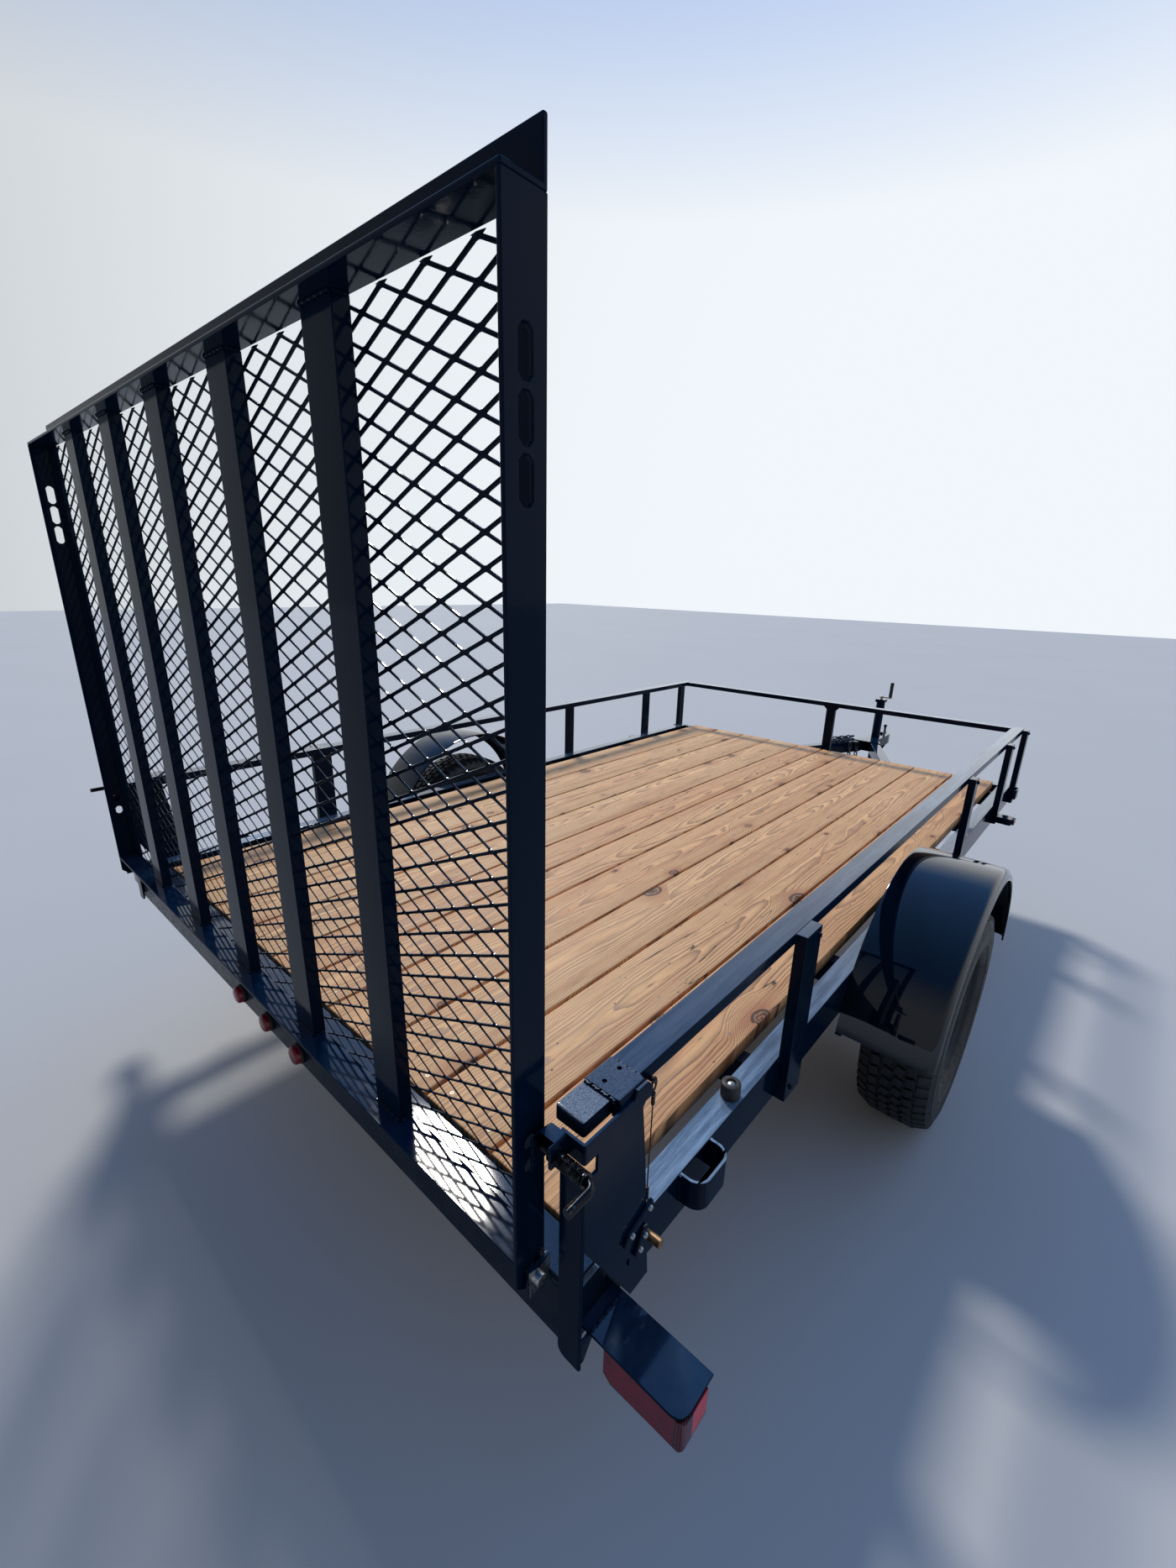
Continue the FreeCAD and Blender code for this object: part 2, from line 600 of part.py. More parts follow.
# Wheels: a tyre on a steel wheel, both straight-sided all round
tyre_half = value_of("tyre_wide") / 2
tyre_out = value_of("tyre_radius")
rim_half = value_of("rim_wide") / 2
rim_out = value_of("rim_radius")
flange = value_of("rim_flange")
wall = value_of("rim_wall")
hub_out = value_of("hub_radius")
bead = rim_half - wall - 0.4
tyre_half_profile = [
    # x from the wheel's middle, radius
    (tyre_half - 30, tyre_out),
    (tyre_half - 16, tyre_out - 8),
    (tyre_half - 3, tyre_out - 36),
    (tyre_half, rim_out + 84),
    (tyre_half - 5, rim_out + 45),
    (bead + 3.4, rim_out + flange + 4),
    (bead, rim_out + flange + 0.4),
    (bead, rim_out + 0.3),
]
rim_profile = [
    # x from the wheel's middle, radius: round the outside, then back along the disc and the barrel
    (-rim_half, rim_out + flange),
    (-rim_half + wall, rim_out + flange),
    (-rim_half + wall, rim_out),
    (rim_half - wall, rim_out),
    (rim_half - wall, rim_out + flange),
    (rim_half, rim_out + flange),
    (rim_half, rim_out - wall),
    (20, rim_out - wall),
    (38, rim_out - 54),
    (36, rim_out - 70),
    (7, 2 * hub_out),
    (7, hub_out),
    (0, hub_out),
    (0, 2 * hub_out + 4),
    (30, rim_out - 70),
    (31, rim_out - 58),
    (13, rim_out - wall - 5),
    (10, rim_out - wall),
    (-rim_half, rim_out - wall),
]
tyre = wheel_ring("tyre", tyre_half_profile + [(-across, radius) for across, radius in tyre_half_profile[::-1]])
rim_ring = wheel_ring("rim_ring", rim_profile)
hand_holes = []
for number in range(8):
    hole = doc.addObject("Part::Prism", "hand_hole_%d" % number)
    hole.Polygon = 6
    bind(hole, Circumradius="15", Height="80")
    hole.Placement.Rotation = (FreeCAD.Rotation(FreeCAD.Vector(1, 0, 0), 45 * number + 22.5)
                               * FreeCAD.Rotation(FreeCAD.Vector(0, 1, 0), 90))
    place(hole, "wheel_centre - 20", "wheel_at - (rim_radius - 34) * sin(%s)" % (45 * number + 22.5),
          "tyre_radius + (rim_radius - 34) * cos(%s)" % (45 * number + 22.5))
    hand_holes.append(hole)
rim = cut("rim", rim_ring, *hand_holes)
hub = cut("hub",
          fuse("hub_solid",
               prism("hub_body", "x", ("axle_half + 6", "wheel_at", "tyre_radius"), "hub_radius - 0.3",
                     "wheel_centre - axle_half + 6", WHEEL_SIDES),
               prism("hub_cap", "x", ("axle_half + 6", "wheel_at", "tyre_radius"), "hub_radius - 12",
                     "wheel_centre - axle_half + 36", 16)),
          bore("hub_bore", ("axle_half", "wheel_at", "tyre_radius"), "spindle_radius + 0.9",
               "wheel_centre - axle_half + 16"))
for label, piece in (("tyre", tyre), ("rim", rim), ("hub", hub)):
    node(label + "_right", piece)
    node(label + "_left", mirrored(piece))

# Axle, springs and their hangers
beam = fuse("beam", prism("beam_tube", "x", ("-axle_half", "wheel_at", "tyre_radius"), "axle_radius",
                          "2 * axle_half", 16),
            *both_sides(prism("spindle", "x", ("axle_half - 10", "wheel_at", "tyre_radius"), "spindle_radius",
                              "wheel_centre - axle_half + 24", 16)))
node("axle_beam", beam)

SPRING_LOW = "tyre_radius + axle_radius + 6"
LEAF_REACH = (0.34, 0.56, 0.78, 1.0)


def spring_point(share, leaves_below):
    """A point on the arched stack: how far along the half spring, and above how many leaves."""
    return ("spring_half * %s" % share,
            "%s + %d * spring_leaf + spring_arch * %s" % (SPRING_LOW, leaves_below, round(share * share, 4)))


top_line = [spring_point(share, 4) for share in (-1.0, -0.78, -0.56, -0.34, 0, 0.34, 0.56, 0.78, 1.0)]
right_steps = []
for number, share in enumerate(LEAF_REACH):
    start = LEAF_REACH[number - 1] if number else 0
    right_steps += [spring_point(start, number), spring_point(share, number)]
left_steps = [("-(%s)" % across, up) for across, up in right_steps[1:]]
spring_outline = outline("spring_outline", "yz", top_line + right_steps[::-1] + left_steps,
                         at=("0", "wheel_at", "0"))
spring = slab("spring", spring_outline, (1, 0, 0), "spring_x + spring_wide / 2", "spring_x - spring_wide / 2")
node("leaf_springs", *both_sides(spring))

seat = box("spring_seat", ("spring_x - spring_wide / 2 - 12", "spring_x + spring_wide / 2 + 12"),
           ("wheel_at - 50", "wheel_at + 50"), ("tyre_radius + axle_radius - 12", SPRING_LOW))
seat_cut = cut("spring_seat_cut", seat, prism("seat_hollow", "x", ("0", "wheel_at", "tyre_radius"), "axle_radius",
                                              "frame_half * 2", 16))
node("spring_seats", *both_sides(seat_cut))

hangers = []
for number, side_sign in enumerate((-1, 1)):
    at = "wheel_at + (%d) * spring_half" % side_sign
    hangers.append(box("hanger_%d" % number, ("spring_x - spring_wide / 2 - 8", "frame_half"),
                       (at + " - 3 + (%d)" % (3 * side_sign), at + " + 3 + (%d)" % (3 * side_sign)),
                       (SPRING_LOW + " + 4 * spring_leaf + spring_arch - 34", FRAME_LOW)))
node("spring_hangers", *both_sides(*hangers))

# Fenders: a round skin in short straight lengths, with a turned-down outer edge and small brackets
FENDER_STEPS = 16


def arc_points(radius, backwards=False):
    """Points of the fender's arc at one radius, from its rear end over the top to its front end."""
    points = []
    for step in range(FENDER_STEPS + 1):
        angle = "fender_start + %d * (180 - 2 * fender_start) / %d" % (step, FENDER_STEPS)
        points.append(("-(%s) * cos(%s)" % (radius, angle), "fender_high + (%s) * sin(%s)" % (radius, angle)))
    return points[::-1] if backwards else points


skin_outline = outline("fender_skin_outline", "yz",
                       arc_points("fender_radius") + arc_points("fender_radius - fender_skin", True),
                       at=("0", "wheel_at", "0"))
lip_outline = outline("fender_lip_outline", "yz",
                      arc_points("fender_radius") + arc_points("fender_radius - fender_lip", True),
                      at=("0", "wheel_at", "0"))
fender = fuse("fender",
              slab("fender_skin_slab", skin_outline, (1, 0, 0), "frame_half + fender_wide - fender_skin", "frame_half"),
              slab("fender_lip_slab", lip_outline, (1, 0, 0), "frame_half + fender_wide",
                   "frame_half + fender_wide - fender_skin"))
node("fenders", *both_sides(fender))

FENDER_END = "fender_high + (fender_radius - fender_skin) * sin(fender_start)"
brackets = []
for number, sign in enumerate((-1, 1)):
    spans = []
    for near, far in ((-3, 52), (30, 52)):
        ends = ["wheel_at + (%d) * (fender_radius * cos(fender_start) - (%d))" % (sign, value) for value in (near, far)]
        spans.append(tuple(ends if sign < 0 else ends[::-1]))
    foot = box("bracket_foot_%d" % number, ("frame_half", "frame_half + 17"), spans[0],
               (FENDER_END + " - plate", FENDER_END))
    stem = box("bracket_stem_%d" % number, ("frame_half", "frame_half + plate"), spans[1],
               (FENDER_END, FRAME_LOW + " + 30"))
    brackets.append(fuse("fender_bracket_%d" % number, foot, stem))
node("fender_brackets", *both_sides(*brackets))

# Tongue: two members that meet at the coupler, with the jack between them
TONGUE_TOP = FRAME_LOW
TONGUE_LOW = FRAME_LOW + " - tongue_tall"
member_outline = outline("tongue_outline", "xy", [
    ("(tongue_apex - tongue_back) * tan(tongue_angle)", "tongue_back"),
    ("tongue_neck - 12", "tongue_apex - (tongue_neck - 12) / tan(tongue_angle)"),
    ("tongue_neck - 12", "tongue_apex - (tongue_neck - 12) / tan(tongue_angle) - tongue_wide / sin(tongue_angle)"),
    ("(tongue_apex - tongue_back) * tan(tongue_angle) - tongue_wide / cos(tongue_angle)", "tongue_back")])
member = slab("tongue_member", member_outline, (0, 0, 1), TONGUE_TOP, TONGUE_LOW)
both_members = both_sides(member)
node("tongue_members", *both_members)

SKIRT = "plate / cos(tongue_angle)"
coupler_half = [
    # right half of the coupler's outline, seen from above: x, y
    ("26", NOSE),
    ("ball_radius + ball_wall", "ball_at + 14"),
    ("tongue_neck + plate", "ball_at - 40"),
    ("tongue_neck + plate", "tongue_apex - (tongue_neck + plate - %s) / tan(tongue_angle)" % SKIRT),
    ("(tongue_apex - coupler_tail) * tan(tongue_angle) + " + SKIRT, "coupler_tail"),
]
hollow_half = [
    ("tongue_neck", "ball_at - 52"),
    ("tongue_neck", "tongue_apex - tongue_neck / tan(tongue_angle)"),
    ("(tongue_apex - coupler_tail + 20) * tan(tongue_angle)", "coupler_tail - 20"),
]


def two_halves(rows):
    return rows + [("-(%s)" % across, along) for across, along in rows[::-1]]


coupler = cut("coupler_body",
              slab("coupler_block", outline("coupler_outline", "xy", two_halves(coupler_half)), (0, 0, 1),
                   TONGUE_TOP + " + plate", TONGUE_LOW + " + 10"),
              slab("coupler_hollow", outline("coupler_hollow_outline", "xy", two_halves(hollow_half)), (0, 0, 1),
                   TONGUE_TOP, TONGUE_LOW + " - 10"),
              prism("socket_mouth", "z", ("0", "ball_at", TONGUE_LOW), "ball_radius + 0.6", "50", 16),
              prism("coupler_jack_hole", "z", ("0", "jack_at", TONGUE_TOP + " - 10"), "jack_radius", "40", 16))
node("coupler", coupler)

lever = fuse("lever",
             box("lever_foot", ("-9", "9"), ("ball_at - 40", "ball_at + 50"), (TONGUE_TOP + " + plate",
                                                                             TONGUE_TOP + " + plate + 14")),
             box("lever_arm", ("-6", "6"), ("ball_at + 28", "ball_at + 42"), (TONGUE_TOP + " + plate + 14",
                                                                             TONGUE_TOP + " + 62")),
             box("lever_knob", ("-9", "9"), ("ball_at + 24", "ball_at + 46"), (TONGUE_TOP + " + 46",
                                                                             TONGUE_TOP + " + 68")))
node("coupler_lever", lever)

jack_tube = cut("jack_outer",
                prism("jack_barrel", "z", ("0", "jack_at", "jack_low"), "jack_radius", "jack_top - jack_low", 16),
                prism("jack_bore", "z", ("0", "jack_at", "jack_low - 1"), "jack_leg + 0.6",
                      "jack_top - jack_low - 20", 16))
node("jack_tube", jack_tube)
jack_head = box("jack_head_block", ("-jack_radius - 4", "jack_radius + 4"), ("jack_at - jack_radius - 4",
                                                                       "jack_at + jack_radius + 4"),
                ("jack_top", "jack_top + 22"))
node("jack_head", jack_head)
jack_crank = fuse("jack_handle",
                  prism("crank_neck", "z", ("0", "jack_at", "jack_top + 22"), "10", "22"),
                  box("crank_arm", ("-12", "70"), ("jack_at - 12", "jack_at + 12"), ("jack_top + 34", "jack_top + 42")))
node("jack_crank", jack_crank)
node("crank_grip", prism("crank_grip_bar", "z", ("58", "jack_at", "jack_top + 42"), "12", "106"))
jack_inner = prism("jack_inner", "z", ("0", "jack_at", "8"), "jack_leg", "jack_low + 190", 16)
jack_sole = prism("jack_sole", "z", ("0", "jack_at", "0"), "jack_foot", "8", 16)
node("jack_leg", fuse("jack_leg_solid", jack_inner, jack_sole))


# Safety chains: links laid over the left tongue member, with their ends hanging inside it
def chain(name, first, last):
    """Part::Feature of flat-sided links along a straight line, each turned a quarter from the one before."""
    wire_thick = value_of("chain_wire")
    long_half = value_of("chain_hole_long") / 2
    wide_half = value_of("chain_hole_wide") / 2
    pitch = value_of("chain_pitch")
    long_out = long_half + wire_thick
    wide_out = wide_half + wire_thick
    bevel = 8
    outer = [(long_out - bevel, wide_out), (long_out, wide_out - bevel), (long_out, bevel - wide_out),
             (long_out - bevel, -wide_out), (bevel - long_out, -wide_out), (-long_out, bevel - wide_out),
             (-long_out, wide_out - bevel), (bevel - long_out, wide_out)]
    inner = [(long_half, wide_half), (long_half, -wide_half), (-long_half, -wide_half), (-long_half, wide_half)]
    solids = []
    for corners in (outer, inner):
        points = [FreeCAD.Vector(x, y, -wire_thick / 2) for x, y in corners]
        face = Part.Face(Part.makePolygon(points + points[:1]))
        solids.append(face.extrude(FreeCAD.Vector(0, 0, wire_thick)))
    link = solids[0].cut(solids[1])
    along = FreeCAD.Vector(*last) - FreeCAD.Vector(*first)
    turn = FreeCAD.Rotation(FreeCAD.Vector(1, 0, 0), along)
    pieces = []
    for number in range(int(along.Length / pitch)):
        middle = FreeCAD.Vector(*first) + along * ((number + 0.5) * pitch / along.Length)
        roll = FreeCAD.Rotation(FreeCAD.Vector(1, 0, 0), 45 + 90 * (number % 2))
        piece = link.copy()
        piece.Placement = FreeCAD.Placement(middle, turn * roll)
        pieces.append(piece)
    thing = doc.addObject("Part::Feature", name)
    thing.Shape = Part.makeCompound(pieces)
    return thing


tongue_up = value_of("deck_top") - value_of("flange_drop") - value_of("web_tall")
lean = math.tan(math.radians(value_of("tongue_angle")))


def on_tongue(along, aside, up):
    """A point by the left tongue member: place along the trailer, distance inside its outer face, height."""
    return (-(value_of("tongue_apex") - along) * lean + aside, along, tongue_up + up)


def settle(strand, carriers, direction):
    """Moves a strand along a direction until it all but touches what carries it."""
    shape = strand.Shape.copy()
    for attempt in range(6):
        gap = min(shape.distToShape(carrier)[0] for carrier in carriers)
        if gap > 0.35:
            shape.translate(FreeCAD.Vector(*direction) * (gap - 0.3))
    strand.Shape = shape
    carriers.append(shape)
    return strand


CHAIN_PATHS = [
    # direction in which it settles, then along, aside and up of both ends
    [(0, 0, -1), (4020, 14, 20), (4215, 14, 20)],
    [(0, 0, -1), (4000, 46, 20), (4210, 46, 20)],
    [(0, 0, -1), (4040, 30, 60), (4215, 30, 60)],
    [(-1, 0, 0), (4190, 86, -8), (4190, 86, -160)],
    [(-1, 0, 0), (4130, 86, -8), (4130, 86, -130)],
]
doc.recompute()
carriers = [side_piece.Shape for side_piece in both_members]
chains = [settle(chain("chain_%d" % number, on_tongue(*path[1]), on_tongue(*path[2])), carriers, path[0])
          for number, path in enumerate(CHAIN_PATHS)]
node("safety_chains", *chains)

# Lamps: rear clusters under shelf plates, three markers on the rear member, side markers in front
SHELF_OUT = "frame_half + stand_off + plate + shelf_reach"
SHELF_LOW = "deck_top - shelf_drop - plate"
shelf_top = slab("shelf_top", outline("shelf_outline", "xy", [
    ("frame_half", "shelf_start"), (SHELF_OUT + " - 18", "shelf_start"), (SHELF_OUT + " - 5", "shelf_start + 5"),
    (SHELF_OUT, "shelf_start + 18"),
    (SHELF_OUT, "shelf_end"), ("frame_half", "shelf_end")]), (0, 0, 1), "deck_top - shelf_drop", SHELF_LOW)
shelf_gusset = slab("shelf_gusset", outline("shelf_gusset_outline", "yz", [
    ("0", "deck_top - corner_foot + 12"), ("6", "deck_top - corner_foot + 12"), ("32", SHELF_LOW),
    ("0", SHELF_LOW)]), (1, 0, 0), PLATE_OUT, PLATE_IN)
node("lamp_shelves", *both_sides(fuse("lamp_shelf", shelf_top, shelf_gusset)))

LAMP_IN = "frame_half + stand_off + plate + lamp_inner"
LAMP_LOW = "deck_top - shelf_drop - plate - lamp_tall"
lamp_outline = outline("lamp_outline", "xz", [
    (LAMP_IN, SHELF_LOW), (LAMP_IN, LAMP_LOW + " + 12"), (LAMP_IN + " + 15", LAMP_LOW),
    (SHELF_OUT + " - 4", LAMP_LOW + " + 10"), (SHELF_OUT + " + 2", LAMP_LOW + " + 14"),
    (SHELF_OUT + " + 2", SHELF_LOW)])
node("tail_lamps", *both_sides(slab("tail_lamp", lamp_outline, (0, 1, 0), "lamp_end", "lamp_start")))
housing_outline = outline("housing_outline", "xz", [
    (LAMP_IN + " + 4", SHELF_LOW), (LAMP_IN + " + 4", LAMP_LOW + " + 18"), (SHELF_OUT + " - 4", LAMP_LOW + " + 18"),
    (SHELF_OUT + " - 4", SHELF_LOW)])
lamp_housing = slab("lamp_housing", housing_outline, (0, 1, 0), "lamp_end + lamp_back", "lamp_end")
node("lamp_housings", *both_sides(lamp_housing))
markers = [prism("marker_%d" % i, "y", ("%d * marker_pitch" % k, "rear_member_start - marker_deep", "marker_high"),
                 "marker_radius", "marker_deep", 16) for i, k in enumerate((-1, 0, 1))]
node("rear_marker_lamps", *markers)
MARKER_REAR = "post_second - side_marker_long"
marker_arm = slab("marker_arm", outline("marker_outline", "xy", [
    (POST_OUT, MARKER_REAR + " + 8"), (POST_OUT + " + side_marker_reach - 10", MARKER_REAR),
    (POST_OUT + " + side_marker_reach", MARKER_REAR + " + 6"), (POST_OUT + " + side_marker_reach", "post_second - 6"),
    (POST_OUT, "post_second - 6")]), (0, 0, 1), FLANGE_TOP + " - 30", FLANGE_TOP + " - 30 - side_marker_tall")
node("marker_brackets", *both_sides(marker_arm))
side_marker = box("side_marker", (POST_OUT + " + side_marker_reach", POST_OUT + " + side_marker_reach + 10"),
                  (MARKER_REAR + " + 14", "post_second - 10"),
                  (FLANGE_TOP + " - 27 - side_marker_tall", FLANGE_TOP + " - 33"))
node("side_marker_lamps", *both_sides(side_marker))

# Stake pockets and rubber bumpers on the side members
POCKET_REAR = "pocket_at - pocket_long / 2"
POCKET_FRONT = "pocket_at + pocket_long / 2"


def pocket_points(grow):
    """The pocket's outline seen from above, with bent corners, grown outwards by a wall."""
    out = "frame_half + pocket_deep + (%s)" % grow
    corner = "pocket_corner + (%s) / 2" % grow
    rear = "%s - (%s)" % (POCKET_REAR, grow)
    front_end = "%s + (%s)" % (POCKET_FRONT, grow)
    start_x = "frame_half - 10" if grow == "0" else "frame_half"
    return [(start_x, rear), (out + " - (" + corner + ")", rear), (out, rear + " + " + corner),
            (out, front_end + " - (" + corner + ")"), (out + " - (" + corner + ")", front_end), (start_x, front_end)]


pocket = cut("pocket",
             slab("pocket_block", outline("pocket_outline", "xy", pocket_points("plate")), (0, 0, 1), FLANGE_TOP,
                  FLANGE_TOP + " - pocket_tall"),
             slab("pocket_hollow", outline("pocket_hollow_outline", "xy", pocket_points("0")), (0, 0, 1),
                  FLANGE_TOP + " + 10", FLANGE_TOP + " - pocket_tall - 10"))
node("stake_pockets", *both_sides(pocket))
bumper = prism("bumper", "z", ("frame_half - flange_wide / 2", "bumper_at", FLANGE_TOP), "bumper_radius",
               "bumper_tall")
node("rubber_bumpers", *both_sides(bumper))

doc.recompute()
os.makedirs("parts", exist_ok=True)
for thing in doc.Objects:
    for state in ("Invalid", "Error"):
        if state in thing.State:
            raise RuntimeError("%s is in state %s" % (thing.Label, thing.State))
for thing in nodes:
    shape = thing.Shape
    if shape.isNull() or not shape.isValid() or not shape.Solids:
        raise RuntimeError("%s has no valid shape" % thing.Label)
for thing in nodes:
    thing.Shape.exportStep("parts/%s.step" % thing.Label)
print("wrote %d sub-parts, %d solids" % (len(nodes), sum(len(thing.Shape.Solids) for thing in nodes)))
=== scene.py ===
import math

import bmesh
import bpy
from mathutils import Matrix, Vector


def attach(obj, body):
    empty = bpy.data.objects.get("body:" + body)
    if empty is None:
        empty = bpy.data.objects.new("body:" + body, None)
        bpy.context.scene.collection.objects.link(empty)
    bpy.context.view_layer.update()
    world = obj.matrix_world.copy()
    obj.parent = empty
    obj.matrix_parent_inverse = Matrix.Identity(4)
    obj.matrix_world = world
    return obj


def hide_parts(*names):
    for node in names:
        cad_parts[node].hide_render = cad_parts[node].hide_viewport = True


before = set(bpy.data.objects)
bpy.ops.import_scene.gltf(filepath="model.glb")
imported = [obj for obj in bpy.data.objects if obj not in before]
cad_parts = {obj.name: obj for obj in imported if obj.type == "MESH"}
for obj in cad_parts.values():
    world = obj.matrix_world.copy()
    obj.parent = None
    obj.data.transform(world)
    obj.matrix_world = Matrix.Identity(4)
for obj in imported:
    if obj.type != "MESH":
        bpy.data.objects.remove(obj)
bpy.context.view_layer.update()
bpy.ops.object.select_all(action="DESELECT")

# Camera: a phone held at head height behind the right rear corner, with its wide lens.
# Places are in metres from the middle of the trailer, on the ground.
EYE = (1.439, -2.774, 1.576)
LOOK_LEFT = 0.718
LOOK_DOWN = 0.312
LEAN = 0.025
LENS = 19.35
forward = Vector((-math.sin(LOOK_LEFT) * math.cos(LOOK_DOWN), math.cos(LOOK_LEFT) * math.cos(LOOK_DOWN),
                  -math.sin(LOOK_DOWN)))
level_right = Vector((math.cos(LOOK_LEFT), math.sin(LOOK_LEFT), 0))
level_up = level_right.cross(forward)
right = math.cos(LEAN) * level_right + math.sin(LEAN) * level_up
up = -math.sin(LEAN) * level_right + math.cos(LEAN) * level_up


def placed(name, data):
    """A new object in the scene that shows this data."""
    made = bpy.data.objects.new(name, data)
    bpy.context.scene.collection.objects.link(made)
    return made


camera_data = bpy.data.cameras.new("camera")
camera_data.sensor_fit = "HORIZONTAL"
camera_data.sensor_width = 36
camera_data.lens = LENS
camera_data.clip_start = 0.02
camera_data.clip_end = 200
camera = placed("camera", camera_data)
camera.matrix_world = Matrix.Translation(EYE) @ Matrix((right, up, -forward)).transposed().to_4x4()
bpy.context.scene.camera = camera


# Finishes are written as sums on a surface's own measures. A Level is a number that varies over
# the surface, and a Finish is one material with its nodes.
class Level:
    def __init__(self, finish, socket):
        self.finish = finish
        self.socket = socket

    def maths(self, operation, *values):
        """A Math node on this level, or on the values given, which hold the level in its place."""
        if len(values) < 2:
            values = (self, *values)
        return self.finish.node("ShaderNodeMath", {"operation": operation}, dict(enumerate(values)))

    def __add__(self, other):
        return self.maths("ADD", self, other)

    def __radd__(self, other):
        return self.maths("ADD", other, self)

    def __sub__(self, other):
        return self.maths("SUBTRACT", self, other)

    def __rsub__(self, other):
        return self.maths("SUBTRACT", other, self)

    def __mul__(self, other):
        return self.maths("MULTIPLY", self, other)

    def __rmul__(self, other):
        return self.maths("MULTIPLY", other, self)

    def __truediv__(self, other):
        return self.maths("DIVIDE", self, other)

    def power(self, other):
        return self.maths("POWER", self, other)

    def ramp(self, low, high, first=0.0, last=1.0):
        """Rises smoothly from the first value to the last as the level goes from low to high."""
        return self.finish.node("ShaderNodeMapRange", {"interpolation_type": "SMOOTHSTEP"},
                                {"Value": self, "From Min": low, "From Max": high,
                                 "To Min": first, "To Max": last})


class Finish:
    def __init__(self, name, colour, roughness, metallic=0.0):
        self.material = bpy.data.materials.new(name)
        self.material.use_nodes = True
        self.tree = self.material.node_tree
        self.shader = self.tree.nodes["Principled BSDF"]
        self.place = self.node("ShaderNodeTexCoord", {}, {}, "Object")
        self.set("Base Color", colour)
        self.set("Roughness", roughness)
        self.set("Metallic", metallic)

    def join(self, value, socket):
        if isinstance(value, Level):
            self.tree.links.new(value.socket, socket)
        elif isinstance(value, (tuple, list)) and len(value) == 3 and len(socket.default_value) == 4:
            socket.default_value = (*value, 1)
        else:
            socket.default_value = value

    def node(self, kind, settings, sockets, output=0):
        """A node of this kind: its settings come first, then the values or links of its sockets."""
        made = self.tree.nodes.new(kind)
        for name, value in settings.items():
            setattr(made, name, value)
        for name, value in sockets.items():
            self.join(value, made.inputs[name])
        return Level(self, made.outputs[output])

    def set(self, name, value):
        self.join(value, self.shader.inputs[name])

    def stretched(self, x, y, z, vector=None):
        """Coordinates scaled along each axis, to draw a pattern out."""
        return self.node("ShaderNodeMapping", {}, {"Vector": vector or self.place, "Scale": (x, y, z)})

    def noise(self, scale, detail=2.0, roughness=0.5, vector=None):
        return self.node("ShaderNodeTexNoise", {}, {"Vector": vector or self.place, "Scale": scale,
                                                    "Detail": detail, "Roughness": roughness}, "Fac")

    def mix(self, share, first, second):
        """The colour that lies this share of the way from the first to the second."""
        return self.node("ShaderNodeMix", {"data_type": "RGBA"}, {0: share, 6: first, 7: second}, 2)

    def blend(self, share, first, second):
        """Sets the base colour between two, as mix does."""
        self.set("Base Color", self.mix(share, first, second))

    def part(self, axis, vector=None):
        """One coordinate of a vector, or of the place on the object."""
        return self.node("ShaderNodeSeparateXYZ", {}, {"Vector": vector or self.place}, axis)

    def facing(self):
        """How far a face looks up: 1 flat on top, 0 upright and -1 underneath."""
        return self.part("Z", self.node("ShaderNodeTexCoord", {}, {}, "Normal"))

    def bump(self, height, distance):
        bumped = self.node("ShaderNodeBump", {}, {"Height": height, "Distance": distance}, "Normal")
        self.set("Normal", bumped)


# Floor and light: a pale floor under a soft sky that is whiter low down and brighter ahead, and
# one small strong lamp high over the front left.
SUN_FROM = (-0.560, 0.350, 0.750)
bpy.ops.mesh.primitive_plane_add(size=60, location=(0, 0, 0))
floor = bpy.context.object
floor.name = "floor"
floor_finish = Finish("floor_finish", (0.5, 0.5, 0.5), 0.8)
floor_cloud = floor_finish.noise(0.5, 3.0)
floor_finish.blend(floor_cloud, (0.49, 0.495, 0.50), (0.54, 0.545, 0.55))
floor.data.materials.append(floor_finish.material)
sky = bpy.data.worlds.new("sky")
sky.use_nodes = True
sky_nodes = sky.node_tree.nodes
sky_links = sky.node_tree.links
direction = sky_nodes.new("ShaderNodeTexCoord")
parts = sky_nodes.new("ShaderNodeSeparateXYZ")
sky_links.new(direction.outputs["Generated"], parts.inputs[0])
height = sky_nodes.new("ShaderNodeValToRGB")
sky_stops = ((0.40, (0.80, 0.84, 0.88, 1)), (0.72, (0.13, 0.32, 0.74, 1)))
for stop, (place, colour) in zip(height.color_ramp.elements, sky_stops):
    stop.position = place
    stop.color = colour
sky_links.new(parts.outputs["Z"], height.inputs["Fac"])
sky_links.new(height.outputs["Color"], sky_nodes["Background"].inputs["Color"])
ahead = sky_nodes.new("ShaderNodeMapRange")
ahead.interpolation_type = "SMOOTHSTEP"
for socket, value in (("From Min", -0.9), ("From Max", 0.9), ("To Min", 0.30), ("To Max", 1.1)):
    ahead.inputs[socket].default_value = value
sky_links.new(parts.outputs["Y"], ahead.inputs["Value"])
sky_links.new(ahead.outputs["Result"], sky_nodes["Background"].inputs["Strength"])
bpy.context.scene.world = sky
sun_data = bpy.data.lights.new("high_lamp", "SUN")
sun_data.energy = 2.2
sun_data.angle = 0.16
sun_data.color = (1.0, 0.96, 0.88)
sun = placed("high_lamp", sun_data)
sun.rotation_euler = Vector(SUN_FROM).to_track_quat("Z", "Y").to_euler()
bpy.context.scene.view_settings.view_transform = "Standard"

